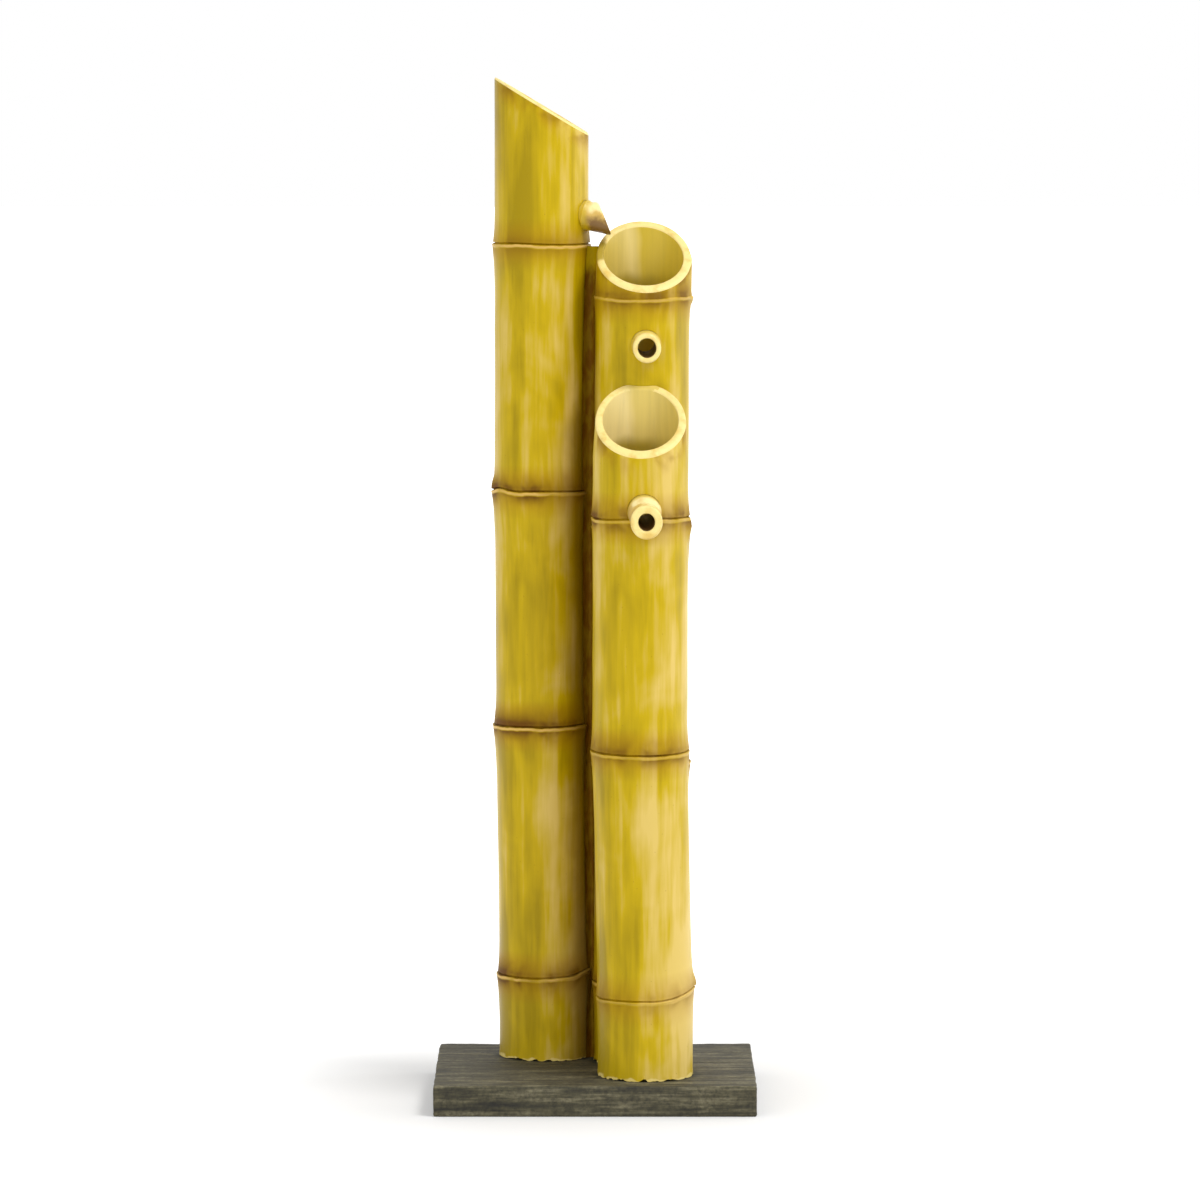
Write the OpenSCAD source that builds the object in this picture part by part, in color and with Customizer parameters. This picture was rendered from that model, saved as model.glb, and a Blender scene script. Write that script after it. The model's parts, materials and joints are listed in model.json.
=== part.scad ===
// Bamboo fountain: three bamboo culms on a slab. Water climbs a hose inside the tall culm,
// leaves its side spout, falls into the middle culm's cup, runs through the middle spout
// into the front culm's cup, and pours off the front spout into the pond below.
// Millimetres. The origin is the centre of the slab's underside, +Z up, -Y the front.

/* [Slab] */
// Thickness of the slab
slab_t = 18; // [14:1:30]
// Bare slab left of the tall culm
slab_left = 34.4; // [15:0.2:80]
// Bare slab right of the middle culm
slab_right = 37.8; // [15:0.2:80]
// Bare slab in front of the front culm
slab_front = 14.4; // [6:0.2:60]
// Bare slab behind the tall culm
slab_back = 10.6; // [6:0.2:60]
// Bevel of the slab's worn edges
slab_bevel = 1.6; // [0.6:0.2:4]

/* [Culms] */
// Outside diameter of a culm between two node rings
culm_d = 56; // [48:1:70]
// Thickness of a culm's wall
culm_wall = 4.6; // [3.6:0.1:6]
// Height of the front culm, from the slab to the high side of its rim
front_h = 406; // [340:1:500]
// How far the middle culm's rim stands above the front culm's
middle_rise = 91; // [80:1:150]
// How far the tall culm's tip stands above the middle culm's rim
tall_rise = 85; // [65:1:150]
// Slope of the tall culm's cut, in degrees
tall_slope = 31; // [15:1:40]
// Slope of the middle culm's cut, in degrees
middle_slope = 36; // [20:1:42]
// How far the middle culm's cut also leans to the right, in degrees
middle_roll = 3; // [0:1:8]
// Slope of the front culm's cut, in degrees
front_slope = 39; // [20:1:45]
// How much narrower the front culm is at its rim
front_pinch = 3; // [0:0.5:5]

/* [Node rings] */
// How far a culm swells just under a node ring
node_swell = 1.6; // [0.6:0.1:3]
// How far down a culm that swelling runs
swell_reach = 36; // [20:1:44]
// How far a culm flares just above a node ring
node_flare = 0.8; // [0.2:0.1:2]
// How far up a culm that flare runs
flare_reach = 24; // [10:1:40]
// Height of a ring's rounded lip
lip_h = 1.2; // [0.6:0.1:3]
// Height of the crease above a ring's lip
crease_h = 1; // [0.5:0.1:3]
// Depth of that crease below the culm's own skin
crease_depth = 0.5; // [0.2:0.1:1.5]
// Thickness of the wall that closes a culm inside each node
septum_t = 5; // [3:0.5:9]
// How far under its ring the top of that wall lies
septum_drop = 4.5; // [2:0.5:8]
// Diameter of the holes drilled in the tall culm's septa for the hose
hose_way_d = 26; // [25:0.5:30]
// Diameter of the air holes pierced in the other septa
air_hole_d = 8; // [4:0.5:14]
// Radius of the bud scars on the rings
bud_r = 4; // [2:0.5:6]

/* [Layout] */
// Gap between the tall and middle culms, which the web fills
web_gap = 7.3; // [4:0.1:14]
// Turn of the line from the tall to the middle culm, towards the front, in degrees
pair_turn = 19.2; // [10:0.2:30]
// How deep the middle culm nests in the front culm's back
nest_depth = 5.8; // [5:0.1:7]
// Turn of the line from the middle to the front culm, towards the left, in degrees
nest_turn = 2; // [0:0.5:10]
// Thickness of the web of filler between the tall and middle culms
web_t = 12; // [6:0.5:20]

/* [Spouts] */
// Outside diameter of the tall culm's spout
tall_spout_d = 18; // [16:0.5:22]
// Outside diameter of the middle culm's spout
middle_spout_d = 17; // [16:0.5:22]
// Outside diameter of the front culm's spout
front_spout_d = 19; // [16:0.5:22]
// Bore of every spout
spout_bore_d = 10.8; // [10:0.2:12]
// Reach of the tall spout's lower lip from the culm's skin
tall_spout_out = 17.5; // [12:0.5:26]
// Reach of the middle spout's lower lip from the culm's skin
middle_spout_out = 12; // [8:0.5:26]
// Reach of the front spout's lower lip from the culm's skin
front_spout_out = 23; // [12:0.5:34]
// Fall of the tall spout, in degrees
tall_spout_fall = 8; // [3:1:15]
// Fall of the middle spout, in degrees
middle_spout_fall = 10; // [3:1:20]
// Fall of the front spout, in degrees
front_spout_fall = 16; // [3:1:22]
// How far the spouts' ends are cut back at the top, in degrees
spout_end_cut = 20; // [0:1:30]
// How far the two front spouts point to the right, in degrees
spout_turn = 4; // [0:1:12]
// How far a spout stands inside a culm's wall
spout_in = 3; // [1:0.5:5]
// Height of the tall spout over the middle of the cup's rim that it feeds
tall_spout_lift = 23.6; // [20:0.2:34]
// Height of the middle spout over the high side of the rim that it feeds
middle_spout_lift = 20; // [14:0.5:26]
// Gap between a spout's underside and the floor of its cup
floor_gap = 0.8; // [0.4:0.1:3]
// Thickness of the floor glued into the middle culm
floor_t = 6; // [4:0.5:10]

/* [Foot plugs and screws] */
// Thickness of the plugs glued into the culms' feet
plug_t = 14; // [12:0.5:20]
// Diameter of the screws' shanks
screw_d = 4.5; // [3.5:0.1:6]
// Diameter of the screws' heads
screw_head_d = 9; // [7:0.1:12]
// Depth that a screw bites into its plug
screw_bite = 11; // [6:0.5:11.5]
// Distance between a plug's two screws
screw_spread = 20; // [14:1:30]
// How far a screw's head is sunk in the slab's underside
screw_sink = 0.6; // [0.2:0.1:2]

/* [Hose and fittings] */
// Bore of the hose
hose_bore_d = 10; // [9:0.1:11]
// Wall of the hose
hose_wall = 1.5; // [1:0.1:2.5]
// Bore of the fittings
fitting_bore_d = 7; // [5:0.1:7.5]
// Distance from the hose's axis to the back of the inlet elbow's socket
socket_from = 9; // [8:0.5:10]
// Length of a fitting inside the hose
hose_grip = 18; // [12:1:30]
// Diameter of the spigot's tail, which takes a half-inch hose
tail_d = 12.7; // [10:0.1:13.2]
// Length of the spigot's tail behind its collar
tail_len = 20; // [14:1:40]
// Diameter of the spigot's threaded shank
shank_d = 14; // [13.6:0.1:16]
// Width of the spigot's six-sided collar across its flats
collar_af = 22; // [19:0.5:28]
// Thickness of that collar
collar_t = 5; // [3:0.5:8]
// Outside diameter of the socket that the shank screws into
socket_d = 20; // [19:0.5:26]
// Depth of the wall at the socket's bottom
socket_floor = 3; // [2:0.5:5]
// Thickness of the rubber gasket between the collar and the culm's skin
gasket_t = 2; // [1:0.5:4]
// Width of the hose clips
clip_w = 6; // [4:0.5:8]
// Thickness of the clips' band
clip_t = 0.8; // [0.5:0.1:1.2]
// Side of the clips' screw housing
clip_block = 4; // [3:0.5:5]

/* [Hidden] */
// Gap of a glue line or of a push fit, each side
fit_gap = 0.15;
// Gap round a screw or shank in a drilled hole, each side
drill_gap = 0.2;
// Overrun of every cut past the face that it opens
over = 4;
// How deep an internode is rooted in the ring under it
node_root = 1.5;
// Wall of the ball in which an elbow's two legs meet
ball_wall = 1.5;
// Steps in the curves of a flare and of a swelling
flare_steps = 4;
swell_steps = 6;
$fn = 64;

// Rings as shares of a culm's height, from the foot up
tall_ring_shares = [0.085, 0.342, 0.581, 0.831];
middle_ring_shares = [0.095, 0.36, 0.64, 0.912];
front_ring_shares = [0.1145, 0.47, 0.806];
// Sideways drift of the foot, of each ring and of the top, as shares of a culm's radius
tall_drift_shares = [0.08, 0.08, 0.01, -0.01, 0, 0];
middle_drift_shares = [-0.04, -0.04, -0.04, -0.04, -0.01, 0.04];
front_drift_shares = [0.105, 0.105, -0.01, 0, 0];
// Where the front culm has narrowed to its rim, as a share of its top internode
pinch_share = 0.72;
// Part of the bud scars' radius that is buried in the culm
bud_buried_share = 0.45;

culm_r = culm_d / 2;
bore_r = culm_r - culm_wall;
middle_h = front_h + middle_rise;
tall_h = middle_h + tall_rise;

pair = [(culm_d + web_gap) * cos(pair_turn), -(culm_d + web_gap) * sin(pair_turn)];
nest = [-(culm_d - nest_depth) * sin(nest_turn), -(culm_d - nest_depth) * cos(nest_turn)];
slab_w = slab_left + culm_d + pair.x + slab_right;
slab_d = slab_front + culm_d - pair.y - nest.y + slab_back;
tall_at = [slab_left + culm_r - slab_w / 2, slab_d / 2 - slab_back - culm_r];
middle_at = tall_at + pair;
front_at = middle_at + nest;

// Height of a point on a culm, as a share of that culm's height
function height_at(h, share) = slab_t + h * share;
// Centres of the foot, of each ring and of the top of a culm, beside its upright axis
function stations(h, rings, drifts) =
    [for (i = [0 : len(drifts) - 1])
        let (share = i == 0 ? 0 : i > len(rings) ? 1 : rings[i - 1])
        [drifts[i] * culm_r, 0, height_at(h, share)]];
tall_stations = stations(tall_h, tall_ring_shares, tall_drift_shares);
middle_stations = stations(middle_h, middle_ring_shares, middle_drift_shares);
front_stations = stations(front_h, front_ring_shares, front_drift_shares);

// Spouts: heights of their axes at the culm's skin
middle_rim_mid = slab_t + middle_h - culm_r * tan(middle_slope);
tall_spout_z = middle_rim_mid + tall_spout_lift;
middle_spout_z = slab_t + front_h + middle_spout_lift;
front_floor_z = front_stations[3].z - septum_drop;
front_spout_z = front_floor_z + floor_gap + front_spout_d / 2 / cos(front_spout_fall)
    - culm_wall * tan(front_spout_fall);
middle_floor_z = middle_spout_z + culm_wall * tan(middle_spout_fall)
    - middle_spout_d / 2 / cos(middle_spout_fall) - floor_gap;
front_point = 90 - spout_turn;
// The middle culm's top septum is knocked out, so that its cup reaches down past that ring
middle_septa = len(middle_ring_shares) - 1;

// Hose and fittings
hose_d = hose_bore_d + 2 * hose_wall;
grip_d = hose_bore_d - 2 * fit_gap;
outlet_d = spout_bore_d - 2 * fit_gap;
// Where an elbow's bores meet they are opened into a ball, big enough to take their crossing
hollow_d = fitting_bore_d / sin((90 - tall_spout_fall) / 2) + 2 * fit_gap;
ball_d = max(hollow_d, hose_d) + 2 * ball_wall;
outlet_z = tall_spout_z + culm_r * tan(tall_spout_fall);
inlet_z = slab_t + plug_t + socket_d / 2 + floor_gap;
shank_from = socket_from + socket_floor;
collar_y = culm_r + node_swell + gasket_t;

// Outline of one internode, turned about the culm's axis. The foot has no ring under it,
// and the top one has none above it but may narrow towards the rim.
function internode(len, grow, is_foot, is_top, pinch) =
    let (r = culm_r + grow, root_r = culm_r + grow - crease_depth)
    concat(
        is_foot ? [[0, 0], [r, 0]]
            : concat([[0, -node_root], [root_r, -node_root], [root_r, 0]],
                [for (i = [0 : flare_steps]) let (s = i / flare_steps)
                    [r + node_flare * pow(1 - s, 2), crease_h + s * (flare_reach - crease_h)]]),
        is_top ? concat(pinch > 0 ? [[r - pinch / 2, len * pinch_share]] : [],
                [[r - pinch / 2, len + over], [0, len + over]])
            : concat([for (i = [0 : swell_steps]) let (s = i / swell_steps)
                    [r + node_swell * pow(s, 2), len - swell_reach + s * (swell_reach - lip_h)]],
                [[r + node_swell - lip_h / 2, len], [0, len]]));

// How far a culm's centre has drifted to the right at a height
function drift_at(points, z) = lookup(z, [for (p = points) [p.z, p.x]]);

// Stands its children on the line from one station of a culm to the next
module along(a, b) {
    translate(a) rotate([0, atan2(b.x - a.x, b.z - a.z), 0]) children();
}

// A culm as a solid pole with its rings, uncut
module pole(points, grow = 0, pinch = 0) {
    last = len(points) - 2;
    for (i = [0 : last])
        along(points[i], points[i + 1])
            rotate_extrude()
                polygon(internode(norm(points[i + 1] - points[i]), grow, i == 0, i == last, pinch));
}

// The hollows of a culm, with a septum under each ring up to the last that keeps one; the
// hollow above that runs straight to the open top
module chambers(points, septa) {
    for (i = [0 : septa]) {
        next = i == septa ? points[len(points) - 1] : points[i + 1];
        step = norm(next - points[i]);
        from = i == 0 ? -over : -septum_drop;
        to = i == septa ? step + 2 * over : step - septum_drop - septum_t;
        along(points[i], next) translate([0, 0, from]) cylinder(r = bore_r, h = to - from);
    }
}

// Everything above a sloping cut whose high side is at the given height; the cut falls
// towards -Y, and leans by roll towards +X
module above_cut(h, slope, roll = 0) {
    reach = 2 * culm_d;
    translate([0, 0, slab_t + h - culm_r * tan(slope)])
        rotate([slope, roll, 0])
            translate([-reach, -reach, 0]) cube(2 * reach);
}

// A bud scar, pointing to +X from a station on a culm
module bud(station) {
    translate([station.x + culm_r - bud_r * bud_buried_share, 0, station.z - bud_r / 2])
        sphere(r = bud_r);
}

// Places its children where a spout's axis crosses the skin, with +X out along the spout
module at_spout(at, points, turn, z, fall) {
    translate([at.x + drift_at(points, z), at.y, z]) rotate([0, 0, -turn])
        translate([culm_r, 0, 0]) rotate([0, fall, 0]) children();
}

// The hole drilled in a culm's wall for a spout
module spout_hole(d) {
    depth = culm_wall + spout_in + over;
    translate([-depth, 0, 0]) rotate([0, 90, 0])
        cylinder(d = d + 2 * fit_gap, h = depth + node_swell + over);
}

// A spout with its lower lip at reach; its inner end stands inside the culm
module spout(d, reach) {
    inside = culm_wall + spout_in;
    color("khaki") difference() {
        translate([-inside, 0, 0]) rotate([0, 90, 0]) cylinder(d = d, h = inside + reach);
        translate([-inside - over, 0, 0]) rotate([0, 90, 0])
            cylinder(d = spout_bore_d, h = inside + reach + 2 * over);
        translate([reach, 0, -d / 2]) rotate([0, -spout_end_cut, 0])
            translate([0, -d, -d]) cube([d, 2 * d, 3 * d]);
    }
}

// Places its children on the middle of a culm's foot
module at_foot(at, points) {
    translate([at.x + points[0].x, at.y, slab_t]) children();
}

module screw_places() {
    for (side = [-1, 1]) translate([side * screw_spread / 2, 0, 0]) children();
}

// The tool that cuts one screw's hole through slab and plug, or the screw itself,
// from the head's face at the given height
module screw_shape(gap, from, length) {
    head_h = (screw_head_d - screw_d) / 2;
    translate([0, 0, from]) {
        cylinder(d1 = screw_head_d + 2 * gap, d2 = screw_d + 2 * gap, h = head_h);
        cylinder(d = screw_d + 2 * gap, h = length);
    }
}

module foot_plug(at, points) {
    at_foot(at, points) difference() {
        cylinder(r = bore_r - fit_gap, h = plug_t);
        screw_places() translate([0, 0, -over])
            cylinder(d = screw_d + 2 * fit_gap, h = screw_bite + over + fit_gap);
    }
}

// The outside of a moulded elbow round the origin: one leg goes into the hose along -Z, the
// other leaves along +X and falls
module elbow_body(out_d, out_len, fall) {
    sphere(d = ball_d);
    translate([0, 0, -ball_d / 2 - hose_grip]) cylinder(d = grip_d, h = ball_d / 2 + hose_grip);
    rotate([0, 90 + fall, 0]) cylinder(d = out_d, h = out_len);
}

// The way for the water through that elbow
module elbow_bore(fall) {
    sphere(d = hollow_d);
    rotate([0, 180, 0]) cylinder(d = fitting_bore_d, h = ball_d / 2 + hose_grip + over);
    rotate([0, 90 + fall, 0]) cylinder(d = fitting_bore_d, h = culm_d);
}

module base_slab() {
    color("dimgray") difference() {
        translate([-slab_w / 2, -slab_d / 2, 0]) cube([slab_w, slab_d, slab_t]);
        for (side = [-1, 1], level = [0, 1]) {
            translate([0, side * slab_d / 2, level * slab_t]) rotate([45, 0, 0])
                cube([slab_w + 2 * over, slab_bevel * sqrt(2), slab_bevel * sqrt(2)], center = true);
            translate([side * slab_w / 2, 0, level * slab_t]) rotate([0, 45, 0])
                cube([slab_bevel * sqrt(2), slab_d + 2 * over, slab_bevel * sqrt(2)], center = true);
            translate([side * slab_w / 2, (2 * level - 1) * slab_d / 2, slab_t / 2])
                rotate([0, 0, 45])
                    cube([slab_bevel * sqrt(2), slab_bevel * sqrt(2), slab_t + 2 * over],
                        center = true);
        }
        screw_cuts(tall_at, tall_stations);
        screw_cuts(middle_at, middle_stations);
        screw_cuts(front_at, front_stations);
    }
}

module screw_cuts(at, points) {
    translate([at.x + points[0].x, at.y, 0]) screw_places() {
        screw_shape(drill_gap, screw_sink, slab_t + over);
        translate([0, 0, -over]) cylinder(d = screw_head_d + 2 * drill_gap, h = screw_sink + over);
    }
}

module tall_culm() {
    color("goldenrod") translate([tall_at.x, tall_at.y, 0]) difference() {
        pole(tall_stations);
        chambers(tall_stations, len(tall_ring_shares));
        rotate([0, 0, 90]) above_cut(tall_h, tall_slope);
        translate([0, 0, slab_t]) cylinder(d = hose_way_d, h = tall_spout_z - slab_t);
        at_spout([0, 0], tall_stations, pair_turn, tall_spout_z, tall_spout_fall)
            spout_hole(tall_spout_d);
        translate([0, 0, inlet_z]) rotate([-90, 0, 0])
            cylinder(d = shank_d + 2 * drill_gap, h = culm_d);
    }
}

module middle_culm() {
    color("darkkhaki") translate([middle_at.x, middle_at.y, 0]) difference() {
        union() {
            pole(middle_stations);
            bud(middle_stations[4]);
        }
        chambers(middle_stations, middle_septa);
        above_cut(middle_h, middle_slope, middle_roll);
        translate([0, 0, slab_t]) cylinder(d = air_hole_d, h = middle_stations[middle_septa].z - slab_t);
        at_spout([0, 0], middle_stations, front_point, middle_spout_z, middle_spout_fall)
            spout_hole(middle_spout_d);
    }
}

module front_culm() {
    color("goldenrod") difference() {
        translate([front_at.x, front_at.y, 0]) difference() {
            union() {
                pole(front_stations, 0, front_pinch);
                bud(front_stations[1]);
                bud(front_stations[3]);
            }
            chambers(front_stations, len(front_ring_shares));
            above_cut(front_h, front_slope);
            translate([0, 0, slab_t]) cylinder(d = air_hole_d, h = front_stations[2].z - slab_t);
            at_spout([0, 0], front_stations, front_point, front_spout_z, front_spout_fall)
                spout_hole(front_spout_d);
        }
        translate([middle_at.x, middle_at.y, 0]) pole(middle_stations, fit_gap);
    }
}

module tall_spout() {
    at_spout(tall_at, tall_stations, pair_turn, tall_spout_z, tall_spout_fall)
        spout(tall_spout_d, tall_spout_out);
}

module middle_spout() {
    at_spout(middle_at, middle_stations, front_point, middle_spout_z, middle_spout_fall)
        spout(middle_spout_d, middle_spout_out);
}

module front_spout() {
    at_spout(front_at, front_stations, front_point, front_spout_z, front_spout_fall)
        spout(front_spout_d, front_spout_out);
}

module middle_cup_floor() {
    cup_line = [middle_stations[middle_septa], middle_stations[len(middle_stations) - 1]];
    below = middle_floor_z - floor_t - cup_line[0].z;
    color("burlywood") translate([middle_at.x, middle_at.y, 0]) along(cup_line[0], cup_line[1])
        translate([0, 0, below]) cylinder(r = bore_r - fit_gap, h = floor_t);
}

module tall_foot_plug() { color("burlywood") foot_plug(tall_at, tall_stations); }
module middle_foot_plug() { color("burlywood") foot_plug(middle_at, middle_stations); }
module front_foot_plug() {
    color("burlywood") difference() {
        foot_plug(front_at, front_stations);
        translate([middle_at.x, middle_at.y, 0]) pole(middle_stations, fit_gap);
    }
}

module foot_screws() {
    color("silver")
        for (foot = [[tall_at, tall_stations], [middle_at, middle_stations],
                [front_at, front_stations]])
            translate([foot[0].x + foot[1][0].x, foot[0].y, 0])
                screw_places() difference() {
                    screw_shape(0, screw_sink, slab_t + screw_bite - screw_sink);
                    cylinder(d = screw_d / 2, h = screw_sink + screw_d / 2, $fn = 6);
                }
}

module riser_hose() {
    bottom = inlet_z + ball_d / 2;
    top = outlet_z - ball_d / 2;
    color("darkslategray") translate([tall_at.x, tall_at.y, bottom]) difference() {
        cylinder(d = hose_d, h = top - bottom);
        translate([0, 0, -over]) cylinder(d = hose_bore_d, h = top - bottom + 2 * over);
    }
}

// The elbow inside the tall culm's foot: its socket is shaped to the culm's inside
module inlet_elbow() {
    color("dimgray") translate([tall_at.x, tall_at.y, inlet_z]) rotate([0, 0, 90])
        difference() {
            union() {
                mirror([0, 0, 1]) elbow_body(hose_d, shank_from, 0);
                intersection() {
                    translate([socket_from, 0, 0]) rotate([0, 90, 0])
                        cylinder(d = socket_d, h = culm_r);
                    translate([0, -tall_stations[0].x, -culm_r])
                        cylinder(r = bore_r - fit_gap, h = culm_d);
                }
            }
            mirror([0, 0, 1]) elbow_bore(0);
            translate([shank_from, 0, 0]) rotate([0, 90, 0])
                cylinder(d = shank_d + 2 * fit_gap, h = culm_r);
        }
}

// The spigot outside, screwed into the elbow's socket through the culm's wall
module inlet_spigot() {
    color("dimgray") translate([tall_at.x, tall_at.y, inlet_z]) rotate([-90, 0, 0])
        difference() {
            union() {
                translate([0, 0, shank_from + fit_gap])
                    cylinder(d = shank_d, h = collar_y - shank_from);
                translate([0, 0, collar_y])
                    cylinder(d = collar_af / cos(30), h = collar_t, $fn = 6);
                translate([0, 0, collar_y + collar_t / 2])
                    cylinder(d = tail_d, h = collar_t / 2 + tail_len);
            }
            cylinder(d = fitting_bore_d, h = collar_y + collar_t + tail_len + over);
        }
}

module inlet_gasket() {
    color("black") translate([tall_at.x, tall_at.y, 0]) difference() {
        translate([0, bore_r, inlet_z]) rotate([-90, 0, 0])
            cylinder(d = collar_af, h = collar_y - bore_r);
        translate([0, 0, inlet_z]) rotate([-90, 0, 0])
            cylinder(d = shank_d + 2 * fit_gap, h = culm_d);
        pole(tall_stations, fit_gap);
    }
}

module outlet_elbow() {
    color("dimgray") translate([tall_at.x, tall_at.y, outlet_z]) rotate([0, 0, -pair_turn])
        difference() {
            elbow_body(outlet_d, culm_r / cos(tall_spout_fall), tall_spout_fall);
            elbow_bore(tall_spout_fall);
        }
}

module clip() {
    band_r = hose_d / 2 + fit_gap;
    difference() {
        union() {
            cylinder(r = band_r + clip_t, h = clip_w);
            translate([band_r, -clip_block, clip_w / 2 - clip_block / 2])
                cube([clip_block, 2 * clip_block, clip_block]);
        }
        translate([0, 0, -over]) cylinder(r = band_r, h = clip_w + 2 * over);
    }
}

module hose_clips() {
    color("silver") translate([tall_at.x, tall_at.y, 0]) {
        translate([0, 0, inlet_z + ball_d / 2 + clip_w / 2]) clip();
        translate([0, 0, outlet_z - ball_d / 2 - clip_w * 3 / 2]) clip();
    }
}

module culm_web() {
    top = middle_rim_mid;
    color("saddlebrown") difference() {
        translate([tall_at.x, tall_at.y, slab_t]) rotate([0, 0, -pair_turn])
            translate([bore_r, -web_t / 2, 0]) cube([2 * culm_wall + web_gap, web_t, top - slab_t]);
        translate([tall_at.x, tall_at.y, 0]) pole(tall_stations, fit_gap);
        translate([middle_at.x, middle_at.y, 0]) pole(middle_stations, fit_gap);
    }
}

base_slab();
tall_culm();
middle_culm();
front_culm();
tall_spout();
middle_spout();
front_spout();
middle_cup_floor();
tall_foot_plug();
middle_foot_plug();
front_foot_plug();
foot_screws();
riser_hose();
inlet_elbow();
inlet_spigot();
inlet_gasket();
outlet_elbow();
hose_clips();
culm_web();
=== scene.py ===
"""The looks of a bamboo fountain, built round its packed frame: culms, spouts, slab, filler,
fittings and a plain stage."""

import json
import math
from math import radians, tan
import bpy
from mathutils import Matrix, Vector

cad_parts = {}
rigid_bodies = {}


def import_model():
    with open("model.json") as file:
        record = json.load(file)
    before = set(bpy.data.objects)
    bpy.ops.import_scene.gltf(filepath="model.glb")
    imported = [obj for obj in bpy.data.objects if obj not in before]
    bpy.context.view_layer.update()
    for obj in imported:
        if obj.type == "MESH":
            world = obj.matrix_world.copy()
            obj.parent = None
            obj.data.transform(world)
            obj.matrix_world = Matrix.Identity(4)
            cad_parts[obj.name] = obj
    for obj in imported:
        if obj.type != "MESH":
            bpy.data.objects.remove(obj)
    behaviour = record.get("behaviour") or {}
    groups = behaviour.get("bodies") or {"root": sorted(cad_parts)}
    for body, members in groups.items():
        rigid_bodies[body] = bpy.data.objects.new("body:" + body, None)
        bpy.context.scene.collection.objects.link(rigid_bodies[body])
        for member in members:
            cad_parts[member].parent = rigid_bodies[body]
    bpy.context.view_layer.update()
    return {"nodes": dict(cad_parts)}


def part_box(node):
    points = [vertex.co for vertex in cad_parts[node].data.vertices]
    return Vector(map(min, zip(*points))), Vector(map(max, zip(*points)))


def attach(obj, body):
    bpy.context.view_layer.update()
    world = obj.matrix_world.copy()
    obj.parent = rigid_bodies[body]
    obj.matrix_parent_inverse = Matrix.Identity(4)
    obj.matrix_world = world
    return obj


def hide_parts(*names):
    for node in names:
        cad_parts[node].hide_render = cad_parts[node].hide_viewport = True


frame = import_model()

from types import SimpleNamespace

import bmesh
import bpy
from bpy.props import FloatProperty, FloatVectorProperty, PointerProperty
from mathutils import Matrix, Vector

bl_info = {
    "name": "Bamboo Fountain",
    "version": (1, 0, 0),
    "blender": (4, 5, 0),
    "location": "View3D > Sidebar > Fountain",
    "description": "Models a fountain of three bamboo culms on a slab, and its stage",
    "category": "Add Mesh",
}

MM = 0.001
# A piece's finishes, in the order of its slots
SKIN, INSIDE, CUT = range(3)
# Edges round a culm and a spout
CULM_SIDES = 128
SPOUT_SIDES = 64
# The filler: how far it is smeared up over its solid, how far down it is thinner and what is
# left of it at its top, its mesh's spacing and its cells from culm to culm and from front to
# back, half its thickness at the culms, how deep its faces are hollowed, and its gap to the
# skin
FILLER_RISE = 6 * MM
FILLER_THIN = 70 * MM
FILLER_LEFT = 0.45
FILLER_CELL = 3 * MM
FILLER_ACROSS = 8
FILLER_THROUGH = 4
FILLER_HALF = 5.8 * MM
FILLER_DIP = 4 * MM
FILLER_GAP = 0.05 * MM
# Where the filler is smeared over the middle culm's rim, from the filler's top
SMEARED_AT = Vector((2, -8, 3)) * MM
# What is left of the front culm's wall where the middle culm stands in it
NEST_WALL = 0.6 * MM
# How far a wall is run on past the cut that ends it
PAST_CUT = 20 * MM
# How far an inner wall's end stands back while it is joined to the outer one, and how far
# from the plane of the joint an edge may lie
STAND_BACK = 1 * MM
JOIN_REACH = 1.5 * MM
# How far under its cut's lowest point a culm, and a spout, begins to run straight to it
STRAIGHT_GAP = 1.5 * MM
SPOUT_GAP = 2.2 * MM
# The heights of the rows just over a culm's foot, their spacing between its rings, and the
# room that is kept free under its sawn stretch and under a swelling
FOOT_ROWS = [height * MM for height in (0, 4, 7, 12)]
ROW_STEP = 14 * MM
TOP_ROOM = 3 * MM
SWELL_ROOM = 1 * MM
# How far the front rim is painted over past its thin stretch
RIM_PAINTED = 1.8 * MM
# Room between a culm's wall and what is put through it
CLEARANCE = 0.15 * MM


def size(name, description, millimetres):
    """A length that a user may change."""
    return FloatProperty(name=name, description=description, default=millimetres * MM,
                         min=0.0, unit="LENGTH", subtype="DISTANCE")


def tint(name, description, red, green, blue):
    """A colour that a user may change, given as it looks on screen, 0 to 255."""
    return FloatVectorProperty(name=name, description=description, subtype="COLOR_GAMMA",
                               default=(red / 255, green / 255, blue / 255), min=0.0, max=1.0)


def amount(name, description, default):
    """A plain number that a user may change."""
    return FloatProperty(name=name, description=description, default=default)


def power(name, where, watts):
    """A lamp's power that a user may change."""
    return FloatProperty(name=name, description="Power of the soft lamp at the " + where,
                         default=watts, unit="POWER")


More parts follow.
